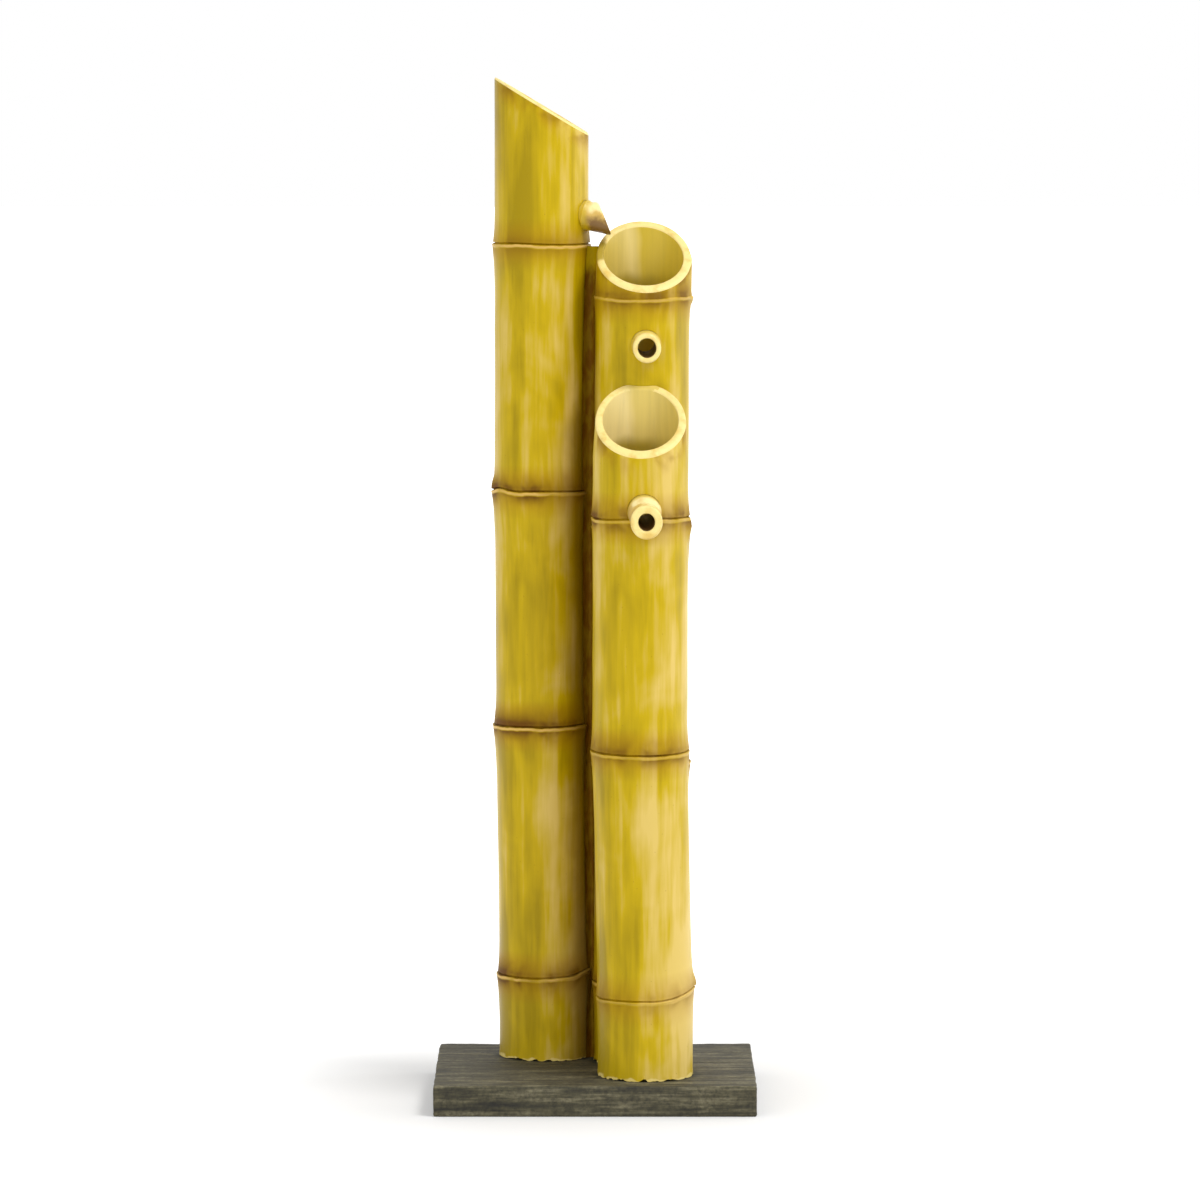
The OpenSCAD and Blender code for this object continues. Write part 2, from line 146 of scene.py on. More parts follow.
class CulmSizes(bpy.types.PropertyGroup):
    """Sizes that the three culms share."""
    diameter: size("Diameter", "Outside diameter between two node rings", 56)
    wall: size("Wall", "Thickness of the wall", 4.6)
    swell: size("Swelling", "How far a culm swells under a ring", 1.6)
    swell_reach: size("Swelling reach", "How far down that swelling runs", 36)
    flare: size("Flare", "How far a culm flares above a ring", 0.8)
    flare_reach: size("Flare reach", "How far up that flare runs", 24)
    lip: size("Lip", "Height of a ring's rounded lip", 1.3)
    crease: size("Crease", "Height of the crease above a ring's lip", 1.0)
    crease_depth: size("Crease depth", "Depth of that crease under the skin", 0.5)
    septum: size("Septum", "Thickness of the wall inside each node", 5)
    septum_drop: size("Septum drop", "How far under its ring that wall's top lies", 4.5)
    rim_round: size("Rim rounding", "Rounding of a rim's outer edge", 1.4)
    rim_inside: size("Rim inside", "Rounding of a rim's inner edge", 0.9)
    unevenness: size("Unevenness", "Depth of the hollows in the skin", 0.7)
    ring_waver: size("Ring waver", "How far a ring wanders up and down", 1.1)
    foot_chip: size("Foot chips", "Height of the chips along the foot's edge", 3.2)


class SpoutSizes(bpy.types.PropertyGroup):
    """Sizes that the three spouts share."""
    inside: size("Inside", "How far a spout reaches in from the culm's skin", 7.6)
    root_swell: size("Root swelling", "How far a spout swells at its root", 0.7)
    lip_round: size("Lip rounding", "Rounding of the worn lip", 1.5)
    bore_round: size("Bore rounding", "Rounding of the bore's mouth", 1.0)
    unevenness: size("Unevenness", "Depth of the hollows in the skin", 0.6)


class SlabSizes(bpy.types.PropertyGroup):
    """Sizes of the slab."""
    edge_round: size("Edge rounding", "Rounding of the worn edges", 1.3)
    cell: size("Cell", "Spacing of the mesh that carries the grain", 1.9)
    grain_depth: size("Grain depth", "Depth of the weathered grain", 0.6)
    edge_wear: size("Edge wear", "Depth of the dents along the edges", 1.2)


class FinishColours(bpy.types.PropertyGroup):
    """Colours of the finishes."""
    skin_deep: tint("Deep skin", "Olive streaks of the culms", 166, 140, 0)
    skin_mid: tint("Skin", "Most of the culms' skin", 198, 168, 8)
    skin_pale: tint("Pale skin", "Tan streaks of the culms", 222, 193, 104)
    amber: tint("Amber", "The thin edge of a stain", 158, 106, 4)
    stain: tint("Stain", "Brown at the rings and in the crevices", 104, 66, 2)
    # Partly the ring's own pale line, partly a painted highlight on its lip
    ring_line: tint("Ring line", "Pale line along a ring's lip", 222, 182, 96)
    cut: tint("Cut", "Sawn ends of culms and spouts", 244, 222, 142)
    cut_edge: tint("Cut edge", "Darker edge of the sawn ends", 226, 190, 96)
    # The pale side is painted light
    inside: tint("Inside", "Pale side of the cups' inside", 244, 222, 148)
    inside_deep: tint("Deep inside", "The rest of the cups' inside", 206, 178, 36)
    # A painted highlight on the spouts' tops
    spout_top: tint("Spout top", "Pale top of the spouts", 252, 234, 170)
    spout: tint("Spout", "Skin of the spouts", 214, 178, 92)
    slab_dark: tint("Slab", "Most of the weathered slab", 66, 62, 43)
    slab_pale: tint("Slab grain", "Raised, bleached grain of the slab", 112, 106, 82)
    # Dirt and painted contact shade round the culms' feet
    slab_dirt: tint("Slab dirt", "Dirt along the culms' feet", 34, 34, 16)
    filler: tint("Filler", "Brown filler between the culms", 122, 93, 6)


class StageSizes(bpy.types.PropertyGroup):
    """The camera, the lamps and the floor."""
    camera_back: size("Camera distance", "From the origin back to the camera", 3479.8)
    camera_right: size("Camera offset", "From the origin right to the camera", 2.87)
    camera_up: size("Camera height", "From the floor up to the camera", 615.3)
    camera_dip: FloatProperty(name="Camera dip", description="How far the camera looks down",
                              default=radians(5.28), unit="ROTATION", subtype="ANGLE")
    lens: amount("Lens", "Focal length on a 36 mm frame, in millimetres", 178.5)
    key: power("Key", "front right", 82.0)
    side: power("Side", "right", 34.0)
    fill: power("Fill", "left", 48.0)
    sky: amount("Sky", "Strength of the light from all round", 0.7)
    floor: tint("Floor", "The pale floor", 228, 228, 228)
    floor_lift: amount("Floor lift", "What the camera adds to the floor near the slab", 0.13)
    floor_reach: size("Floor reach", "How far out the floor turns wholly white", 420)


GROUPS = {"fountain_culm": CulmSizes, "fountain_spout": SpoutSizes, "fountain_slab": SlabSizes,
          "fountain_finish": FinishColours, "fountain_stage": StageSizes}

# Shares are of a culm's height for its rings, and of its radius for the sideways drift of
# its foot, rings and top. Swells are shares of the full swelling, and stains of the full
# stain, ring by ring; line is how clear a ring's pale line is. A fade makes the skin paler.
# A cut falls by its slope towards the facing, in degrees from -Y to +X, and is rolled by
# some degrees. A pinch is how much narrower the culm is at its rim. Way is how wide the walls
# inside the nodes are knocked out. The clear top is how far the joint's brown stain and painted
# crevice shade draw in at its top.
# The pale inside gives places across the bore, from -1 to 1, and how pale the inside is there;
# its paler side is painted light.
# A bud is a ring's number, an angle from +X, a height over the ring and a height over the
# skin. A climb is a ring's number, an angle, how far the ring is drawn up there, and how far
# that reaches.
CULMS = {
    "tall_culm": dict(
        plug="tall_foot_plug", height=582 * MM, ring_shares=(0.085, 0.342, 0.581, 0.831),
        drift_shares=(0.08, 0.08, 0.01, -0.01, 0, 0), swells=(1, 1, 1, 0.8), fade=0.0,
        stains=(1, 1, 1, 0.6), line=1.0, slope=31, facing=90, roll=0, pinch=0, way=26 * MM,
        crevice_clear_top=20 * MM, pale_and_lit_inside=((-1, 0.5), (1, 0.5)),
        buds=((4, 150, -2 * MM, 1.5 * MM), (3, -172, 3 * MM, 1.3 * MM)),
        climbs=((1, -15, 5 * MM, 26 * MM), (3, -150, 2 * MM, 16 * MM))),
    "middle_culm": dict(
        plug="middle_foot_plug", height=497.3 * MM, ring_shares=(0.095, 0.36, 0.64, 0.912),
        drift_shares=(-0.04, -0.04, -0.04, -0.04, -0.01, 0.04), swells=(0.6, 1, 1, 0.35),
        fade=-0.02, stains=(0.85, 0.85, 0.85, 0.85), line=0.6, slope=35.2, facing=0, roll=3,
        pinch=0, way=8 * MM, crevice_clear_top=0,
        pale_and_lit_inside=((-1, 0.2), (-0.55, 0.4), (-0.35, 0.65), (-0.2, 0.5), (0.02, 0), (1, 0.1)),
        buds=((4, 0, 1 * MM, 1.2 * MM),), climbs=()),
    "front_culm": dict(
        plug="front_foot_plug", height=406.6 * MM, ring_shares=(0.1145, 0.47, 0.806),
        drift_shares=(0.105, 0.105, -0.01, 0, 0), swells=(0.5, 0.6, 0.4), fade=0.015,
        stains=(0.6, 0.85, 1), line=0.35, slope=37.3, facing=0, roll=0, pinch=3 * MM, way=8 * MM,
        pale_and_lit_inside=((-1, 0.95), (-0.4, 1), (-0.12, 0.42), (1, 0.36)),
        nests_round="middle_culm",
        buds=((3, -8, -6 * MM, 2 * MM), (1, -4, 9 * MM, 1.3 * MM)),
        climbs=((1, -2, 6 * MM, 38 * MM),)),
}
# The rings whose inner wall is whole, and those where it is wholly gone
WHOLE_SEPTA = {"front_culm": (3,)}
OPEN_SEPTA = {"middle_culm": (4,)}
# The two culms that the filler joins, from the left
JOINED = ("tall_culm", "middle_culm")
# Where the front culm has narrowed to its rim, as a share of its top internode
PINCH_SHARE = 0.72

# By hand: the steps that every piece is modelled with

def begin(name, add, **where):
    """Adds a primitive as a new object, and opens it for editing."""
    bpy.ops.object.select_all(action="DESELECT")
    add(**where)
    piece = bpy.context.object
    piece.name = piece.data.name = name
    bpy.ops.object.transform_apply(location=True, rotation=True, scale=True)
    bpy.context.tool_settings.mesh_select_mode = (True, False, False)
    bpy.ops.object.mode_set(mode="EDIT")
    bpy.ops.mesh.select_all(action="SELECT")
    return piece


def close_edit():
    bpy.ops.object.mode_set(mode="OBJECT")


def face_outward():
    bpy.ops.mesh.select_all(action="SELECT")
    bpy.ops.mesh.normals_make_consistent(inside=False)


def slice_up(axis, low, high, count):
    """Cuts all of the piece being edited into even slices from low to high along an axis."""
    normal = Vector([axis == k for k in range(3)])
    for k in range(1, count):
        bpy.ops.mesh.select_all(action="SELECT")
        bpy.ops.mesh.bisect(plane_co=normal * (low + (high - low) * k / count),
                            plane_no=normal)


def alone(piece, mode="OBJECT"):
    """Makes a piece the only selected object and the active one, and sets its mode."""
    bpy.ops.object.select_all(action="DESELECT")
    piece.select_set(True)
    bpy.context.view_layer.objects.active = piece
    bpy.ops.object.mode_set(mode=mode)


def pick(piece, kind, test):
    """Selects, in edit mode, only those vertices, edges or faces of a piece that pass a test."""
    bpy.ops.mesh.select_mode(type=kind)
    bpy.ops.mesh.select_all(action="DESELECT")
    mesh = bmesh.from_edit_mesh(piece.data)
    for part in {"VERT": mesh.verts, "EDGE": mesh.edges, "FACE": mesh.faces}[kind]:
        if test(part):
            part.select_set(True)
    mesh.select_flush_mode()
    bmesh.update_edit_mesh(piece.data)


def mark(piece, number):
    """Gives the selected faces one of the piece's finishes."""
    mesh = bmesh.from_edit_mesh(piece.data)
    for face in mesh.faces:
        if face.select:
            face.material_index = number
    bmesh.update_edit_mesh(piece.data)


def run_wall(rows, y):
    """Extrudes the selected loop, which lies in the first of the rows of (x, z, radius),
    through the others. A last row of no radius closes the wall."""
    for (x, z, radius), (next_x, next_z, next_radius) in zip(rows, rows[1:]):
        bpy.ops.mesh.extrude_region_move(
            TRANSFORM_OT_translate={"value": (next_x - x, 0, next_z - z)})
        if next_radius == 0:
            bpy.ops.mesh.merge(type="CENTER")
        elif next_radius != radius:
            grow = next_radius / radius
            bpy.ops.transform.resize(value=(grow, grow, 1), center_override=(next_x, y, next_z))


def begin_wall(name, rows, y, sides, **where):
    """Starts a piece as a wall through rows of (x, z, radius), and leaves it open."""
    x, z, radius = rows[0]
    piece = begin(name, bpy.ops.mesh.primitive_circle_add, vertices=sides, radius=radius,
                  location=(x, y, z), **where)
    run_wall(rows, y)
    return piece


def add_wall(piece, rows, y, sides):
    """Adds an inner wall through rows of (x, z, radius) to the piece being edited. A first
    row of no radius closes it."""
    closed = rows[0][2] == 0
    x, z, radius = rows[closed]
    bpy.ops.mesh.select_all(action="DESELECT")
    bpy.ops.mesh.primitive_circle_add(vertices=sides, radius=radius, location=(x, y, z),
                                      fill_type="TRIFAN" if closed else "NOTHING")
    if closed:
        bpy.ops.mesh.region_to_loop()
    run_wall(rows[closed:], y)
    bpy.ops.mesh.select_linked()
    mark(piece, INSIDE)


def in_plane(point, normal, slack=0.02 * MM):
    return lambda vertex: abs((vertex.co - point).dot(normal)) < slack


def join_walls(piece, point, normal, inner):
    """Joins the outer and inner edge that lie in one plane. The inner one stands back
    meanwhile, so that they join the right way round."""
    aside = normal * -STAND_BACK
    pick(piece, "VERT", inner)
    bpy.ops.transform.translate(value=aside)
    near = in_plane(point, normal, JOIN_REACH)
    pick(piece, "EDGE", lambda edge: edge.is_boundary and all(map(near, edge.verts)))
    bpy.ops.mesh.bridge_edge_loops()
    pick(piece, "VERT", in_plane(point + aside, normal))
    bpy.ops.transform.translate(value=-aside)


def on_edge(point, normal, axis, half_way, outer):
    """A test for the vertices of one edge of a wall in a plane. The two edges are told
    apart by half the way between them, a distance from the axis at each height."""
    flat = in_plane(point, normal)
    return lambda v: flat(v) and outer == (
        math.hypot(v.co.x - axis[0], v.co.y - axis[1]) > half_way(v.co.z))


def close_foot(piece, foot, half_way):
    """Joins the walls of a piece at its lower end, level round a point of its axis."""
    down = Vector((0, 0, -1))
    join_walls(piece, foot, down, on_edge(foot, down, foot, lambda z: half_way, False))


def saw_off(piece, point, normal, axis, half_way, roundings, steps=3):
    """Saws a hollow piece off along a plane, closes its wall there, and rounds its inner and
    then its outer edge."""
    bpy.ops.mesh.select_all(action="SELECT")
    bpy.ops.mesh.bisect(plane_co=point, plane_no=normal, clear_outer=True)
    edges = [on_edge(point, normal, axis, half_way, outer) for outer in (False, True)]
    join_walls(piece, point, normal, edges[0])
    face_outward()
    flat = in_plane(point, normal)
    pick(piece, "FACE", lambda face: all(map(flat, face.verts)))
    mark(piece, CUT)
    for on_this, rounding in zip(edges, roundings):
        pick(piece, "EDGE", lambda edge: all(map(on_this, edge.verts)))
        bpy.ops.mesh.bevel(offset=rounding, segments=steps, profile=0.5, affect="EDGES")
        mark(piece, CUT)


def pull(piece, spot, move, reach):
    """Drags the nearest vertex of a piece, and what lies round it, as a soft lump."""
    nearest = min(piece.data.vertices, key=lambda v: (v.co - spot).length).index
    alone(piece, "EDIT")
    pick(piece, "VERT", lambda vertex: vertex.index == nearest)
    bpy.ops.transform.translate(value=move, use_proportional_edit=True,
                                use_proportional_connected=True, proportional_size=reach,
                                proportional_edit_falloff="SMOOTH")
    close_edit()


def group(piece, name, weight):
    """A vertex group whose weight is worked out from each vertex's place."""
    made = piece.vertex_groups.new(name=name)
    for vertex in piece.data.vertices:
        strength = weight(vertex.co)
        if strength > 0:
            made.add([vertex.index], strength, "REPLACE")
    return made.name


def apply(piece, kind, **settings):
    """Adds a modifier to a piece and applies it."""
    alone(piece)
    modifier = piece.modifiers.new(kind.lower(), kind)
    for name, value in settings.items():
        setattr(modifier, name, value)
    bpy.ops.object.modifier_apply(modifier=modifier.name)


def roughen(piece, within, scale, depth, direction="NORMAL", middle=1.0, contrast=1.0,
            guide=None, octaves=2):
    """Displaces the vertices of a group by a cloudy pattern of the given scale."""
    clouds = bpy.data.textures.new(f"{piece.name}_{within}", "CLOUDS")
    clouds.noise_scale = scale
    clouds.noise_depth = octaves
    clouds.contrast = contrast
    settings = dict(texture=clouds, strength=depth, mid_level=middle, direction=direction,
                    vertex_group=within)
    if guide:
        settings.update(texture_coords="OBJECT", texture_coords_object=guide)
    apply(piece, "DISPLACE", **settings)


def carve(piece, tool):
    """Cuts a tool's shape out of a piece, and takes the tool away."""
    apply(piece, "BOOLEAN", operation="DIFFERENCE", solver="EXACT", object=tool)
    bpy.data.objects.remove(tool)


def finish_piece(piece, node, angle=40):
    """Shades a piece and lets it stand for its node."""
    alone(piece)
    bpy.ops.object.shade_smooth_by_angle(angle=radians(angle))
    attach(piece, "root")
    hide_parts(node)


# Finishes

def linear(colour):
    """A colour as it looks on screen, turned into light."""
    return [c / 12.92 if c <= 0.04045 else ((c + 0.055) / 1.055) ** 2.4 for c in colour] + [1.0]


class Tree:
    """The nodes of a material or a world, with short calls for them. A colour may be given
    as its name among the tree's own colours."""

    def __init__(self, owner, colours=None):
        owner.use_nodes = True
        self.nodes, self.links = owner.node_tree.nodes, owner.node_tree.links
        self.colours = colours

    def light(self, value):
        return linear(getattr(self.colours, value)) if isinstance(value, str) else value

    def put(self, socket, value):
        if isinstance(value, bpy.types.NodeSocket):
            self.links.new(value, socket)
        else:
            socket.default_value = self.light(value)

    def add(self, kind, sockets=(), **settings):
        node = self.nodes.new("ShaderNode" + kind)
        for name, value in settings.items():
            setattr(node, name, value)
        for name, value in dict(sockets).items():
            self.put(node.inputs[name], value)
        return node

    def math(self, operation, *values):
        return self.add("Math", enumerate(values), operation=operation).outputs[0]

    def times(self, first, second):
        return self.math("MULTIPLY", first, second)

    def most(self, first, *others):
        for other in others:
            first = self.math("MAXIMUM", first, other)
        return first

    def span(self, value, low, high, new_low=0.0, new_high=1.0, curve="SMOOTHSTEP"):
        return self.add("MapRange", {
            "Value": value, "From Min": low, "From Max": high, "To Min": new_low,
            "To Max": new_high}, interpolation_type=curve).outputs[0]

    def looked_at(self):
        """1 for what the camera, gloss or glass looks at, and 0 for plain light."""
        path = self.add("LightPath").outputs
        return self.most(*[path[f"Is {kind} Ray"] for kind in ("Camera", "Glossy", "Transmission")])


class Recipe(Tree):
    """One procedural material. Its points are measured from its centre, unless a call gives
    its own, and its colour is painted on coat by coat. Sockets of the shader that have one
    value all over are given by name, with _ for a space."""

    def __init__(self, name, colours=None, centre=(0, 0, 0), **sockets):
        self.material = bpy.data.materials.new(name)
        super().__init__(self.material, colours)
        self.shader = self.nodes["Principled BSDF"]
        self.centre, self.colour = centre, None
        for socket, value in sockets.items():
            self.put(self.shader.inputs[socket.replace("_", " ")], value)

    def place(self, stretch=(1, 1, 1), centre=None):
        """Object coordinates measured from a centre, in metres, times a stretch."""
        spot = self.add("TexCoord").outputs["Object"]
        moved = self.add("VectorMath", {0: spot, 1: self.centre if centre is None else centre},
                         operation="SUBTRACT")
        return self.add("VectorMath", {0: moved.outputs[0], 1: stretch},
                        operation="MULTIPLY").outputs[0]

    def part(self, axis, vector):
        return self.add("SeparateXYZ", {0: vector}).outputs[axis]

    def along(self, axis, centre=None):
        """How far a point lies along an axis from a centre."""
        return self.part(axis, self.place(centre=centre))

    def away(self, centre, stretch=(1, 1, 1)):
        """How far a point lies from a centre."""
        return self.add("VectorMath", {0: self.place(stretch, centre)},
                        operation="LENGTH").outputs["Value"]

    def noise(self, stretch=(1, 1, 1), scale=1.0, detail=2.0, roughness=0.5, distortion=0.0):
        """A cloudy pattern of so many repeats a metre along X, Y and Z."""
        return self.add("TexNoise", {
            "Vector": self.place(stretch), "Scale": scale, "Detail": detail,
            "Roughness": roughness, "Distortion": distortion}).outputs["Fac"]

    def dots(self, stretch, scale):
        return self.add("TexVoronoi", {
            "Vector": self.place(stretch), "Scale": scale}).outputs

    def blend(self, *parts):
        """The sum of patterns, each given with its weight."""
        total = 0.0
        for pattern, weight in parts:
            total = self.math("MULTIPLY_ADD", pattern, weight, total)
        return total

    def wander(self, value, pattern, by):
        """A value that wanders with a pattern, by so much to either side."""
        return self.math("ADD", value, self.span(pattern, 0.3, 0.7, -by, by))

    def ramp(self, value, *stops):
        """A ramp through stops of (place, colour as light, by name or as a grey)."""
        node = self.add("ValToRGB", {"Fac": value})
        ramp = node.color_ramp
        while len(ramp.elements) < len(stops):
            ramp.elements.new(0.5)
        for element, (spot, colour) in zip(ramp.elements, stops):
            element.position = spot
            colour = self.light(colour)
            element.color = colour if isinstance(colour, list) else (colour,) * 3 + (1,)
        return node.outputs["Color"]

    def mix(self, share, first, second, blend="MIX"):
        return self.add("Mix", {0: share, 6: first, 7: second},
                        data_type="RGBA", blend_type=blend).outputs[2]

    def coat(self, share, colour):
        """Paints a colour over the recipe's own, where the share says."""
        self.colour = self.mix(share, self.colour, colour)

    def shade(self, *stops):
        """Darkens or lightens the recipe's colour by a ramp of greys."""
        self.colour = self.mix(1.0, self.colour, self.ramp(*stops), "MULTIPLY")

    def bump(self, height, distance, strength=1.0):
        node = self.add("Bump", {
            "Height": height, "Distance": distance * MM, "Strength": strength})
        if self.shader.inputs["Normal"].is_linked:
            before = self.shader.inputs["Normal"].links[0].from_socket
            self.put(node.inputs["Normal"], before)
        self.put(self.shader.inputs["Normal"], node.outputs["Normal"])

    def finish(self, roughness=None):
        self.put(self.shader.inputs["Base Color"], self.colour)
        if roughness is not None:
            self.put(self.shader.inputs["Roughness"], roughness)
        return self.material


# Across a ring, from under it to over it, in millimetres over its line: how strong the stain
# is there, and how strong the pale line is, partly the ring's own pale line and partly a painted
# highlight on its lip
STAIN_STOPS = ((-16, 0.0), (-9, 0.4), (-4.6, 0.8), (-2.6, 1.0), (-1.8, 0.35), (-0.4, 0.4),
               (0.1, 1.0), (2.6, 1.0), (4.6, 0.8), (9, 0.5), (16, 0.0))
LINE_STOPS = ((-16, 0.0), (-2.0, 0.0), (-1.5, 1.0), (-0.6, 1.0), (-0.2, 0.0))
STAIN_REACH = 16
# How far under a sawn rim its stain reaches
RIM_STAIN = 13 * MM


def over_ring(stops):
    """Turns stops in millimetres over a ring's line into stops of a ramp."""
    return [((height + STAIN_REACH) / (2 * STAIN_REACH), strength) for height, strength in stops]


def skin_finish(name, culm, colours):
    """A culm's lacquered skin, streaked, with painted light that makes it paler on its right and
    darker on its left, stained at its rings, rim and foot, and at its joint browned by a stain and
    by painted shade."""
    spec = culm.spec
    recipe = Recipe(name, colours, (culm.cut_at.x, culm.y, culm.foot),
                    Specular_IOR_Level=0.16)
    bands = recipe.noise((58, 58, 9), detail=3, distortion=0.4)
    streaks = recipe.noise((210, 210, 13), detail=3, roughness=0.6)
    blotches = recipe.noise((22, 22, 15), detail=3, distortion=0.5)
    waver = recipe.noise((120, 120, 90))
    patches = recipe.noise((60, 60, 45), detail=3, distortion=0.4)
    fade = spec["fade"]
    # Painted light: the skin is made paler towards its right, as a sheen, and darker towards its
    # left, as shade, about the culm's own fade
    fade_and_painted_sheen = recipe.span(recipe.along("X"), -24 * MM, 24 * MM, fade - 0.04, fade + 0.04)
    tone = recipe.blend((bands, 0.42), (blotches, 0.38), (streaks, 0.2), (fade_and_painted_sheen, 1.0))
    recipe.colour = recipe.ramp(tone, (0.4, "skin_deep"), (0.5, "skin_mid"), (0.61, "skin_pale"))

    dots = recipe.dots((95, 95, 70), 5.0)
    dot = recipe.times(recipe.span(dots["Distance"], 0.13, 0.05),
                       recipe.span(recipe.part("X", dots["Color"]), 0.9, 0.92, 0.0, 0.7))
    rings = recipe.add("UVMap", uv_map="rings").outputs[0]
    height = recipe.wander(recipe.part("Y", rings), waver, 0.3 * MM)
    spot = recipe.span(height, -STAIN_REACH * MM, STAIN_REACH * MM, curve="LINEAR")
    patchy = recipe.times(recipe.part("X", rings), recipe.span(patches, 0.32, 0.62, 0.6, 1.0))
    under_rim = recipe.add("VectorMath", {
        0: recipe.place(centre=culm.cut_at), 1: culm.cut_normal}, operation="DOT_PRODUCT")
    rim = recipe.times(recipe.span(under_rim.outputs["Value"], -RIM_STAIN, 0),
                       recipe.span(patches, 0.4, 0.62, 0.0, 0.75))
    stain = recipe.times(recipe.ramp(spot, *over_ring(STAIN_STOPS)), patchy)
    stain = recipe.most(stain, rim, dot)
    recipe.coat(stain, recipe.ramp(stain, (0.25, "amber"), (0.9, "stain")))
    line = recipe.span(patches, 0.3, 0.56, 0.25, spec["line"])
    # The pale line along a ring: partly its own colour, partly a painted highlight on the lip
    recipe.coat(recipe.times(recipe.ramp(spot, *over_ring(LINE_STOPS)), line), "ring_line")

    # Painted shade and stain: by the joint the skin is darkened with the filler's brown, partly a
    # brown stain and partly the shade of the crevice between the culms
    if culm.joint_at:
        below = recipe.along("Z", culm.joint_at)
        aside = recipe.wander(recipe.away(culm.joint_at, (1, 1, 0)), patches, 1.5 * MM)
        aside = recipe.math("ADD", aside, recipe.span(below, -110 * MM, -60 * MM,
                                                      0.0, spec["crevice_clear_top"]))
        recipe.coat(recipe.times(recipe.span(aside, 28 * MM, 9 * MM, 0.0, 0.7),
                                 recipe.span(below, 4 * MM, -16 * MM)), "filler")
    over_foot = recipe.wander(recipe.along("Z"), waver, 1.2 * MM)
    recipe.coat(recipe.span(over_foot, 1.8 * MM, 0.7 * MM, 0.0, 0.65), "cut")
    recipe.bump(recipe.noise((420, 420, 10), detail=3), 0.1, 0.4)
    return recipe.finish(recipe.span(stain, 0.0, 1.0, 0.36, 0.6))


def cut_finish(name, piece_of, colours):
    """Sawn bamboo, painted cream, with the dots of its fibres."""
    recipe = Recipe(name, colours, piece_of.cut_at, Roughness=0.5)
    cloud = recipe.noise(scale=120, detail=3)
    recipe.colour = recipe.mix(recipe.span(cloud, 0.45, 0.75), "cut", "cut_edge")
    if piece_of.joint_at:
        smear = recipe.away(piece_of.joint_at + SMEARED_AT)
        recipe.coat(recipe.span(smear, 12 * MM, 8 * MM, 0.0, 0.9), "skin_deep")
    speck = recipe.dots((1, 1, 1), 900.0)["Distance"]
    recipe.shade(recipe.span(speck, 0.1, 0.35), (0.0, 0.9), (1.0, 1.0))
    recipe.bump(cloud, 0.25, 0.6)
    return recipe.finish()


def inside_finish(name, culm, colours):
    """The smooth inside of a culm, made paler on one side as painted light, and darkened with olive
    low in its cup as painted shade.
    """
    recipe = Recipe(name, colours, culm.cut_at, Roughness=0.42)
    blotches = recipe.noise((40, 40, 16), detail=3)
    fibres = recipe.noise((300, 300, 12), detail=3)
    across = recipe.wander(recipe.along("X"), blotches, 2.5 * MM)
    share = recipe.span(across, -culm.bore, culm.bore, curve="LINEAR")
    # Painted light: the inside is made paler on the side that the lamps light, and left olive
    # elsewhere
    pale = recipe.ramp(share, *[((x + 1) / 2, v) for x, v in culm.spec["pale_and_lit_inside"]])
    recipe.colour = recipe.mix(pale, "inside_deep", "inside")
    # Painted shade: low in the cup the inside is darkened with olive
    low = -culm.radius * tan(radians(culm.spec["slope"]))
    height = recipe.wander(recipe.along("Z"), blotches, 2 * MM)
    recipe.coat(recipe.times(recipe.span(height, low + 10 * MM, low + 1 * MM, 0.0, 0.9),
                             recipe.span(across, 14 * MM, -2 * MM, 0.4, 1.0)), "skin_deep")
    recipe.shade(fibres, (0.3, 0.93), (0.7, 1.04))
    recipe.bump(fibres, 0.15, 0.5)
    return recipe.finish()


def spout_finish(name, spout, colours):
    """A spout's tan skin, paler on top as a painted highlight, darker underneath with brown stain
    and painted shade, and like the culm's skin at its root.
    """
    recipe = Recipe(name, colours, spout.cut_at, Roughness=0.42)
    cloud = recipe.noise(scale=140, detail=4)
    drop = recipe.wander(recipe.along("Z"), cloud, 3.5 * MM)
    # Painted highlight: the spout's top is made paler where the light falls on it
    recipe.colour = recipe.mix(recipe.span(drop, 1 * MM, 8 * MM), "spout", "spout_top")
    # Brown stain and painted shade: the spout darkens underneath
    recipe.coat(recipe.span(drop, 1 * MM, -7 * MM, 0.0, 0.9), "stain")
    root = spout.culm_radius + 2 * MM
    recipe.coat(recipe.span(recipe.away(spout.culm_at, (1, 1, 0)), root + 4 * MM, root,
                            0.0, 0.8), "skin_mid")
    recipe.bump(cloud, 0.3, 0.5)
    return recipe.finish()


def bore_finish(name, spout, colours):
    """The brown bore of a spout."""
    recipe = Recipe(name, colours, spout.cut_at, Roughness=0.6)
    cloud = recipe.noise(scale=260, detail=4)
    recipe.colour = recipe.mix(cloud, [0.012, 0.007, 0.002, 1], "stain")
    recipe.bump(cloud, 0.3, 0.6)
    return recipe.finish()


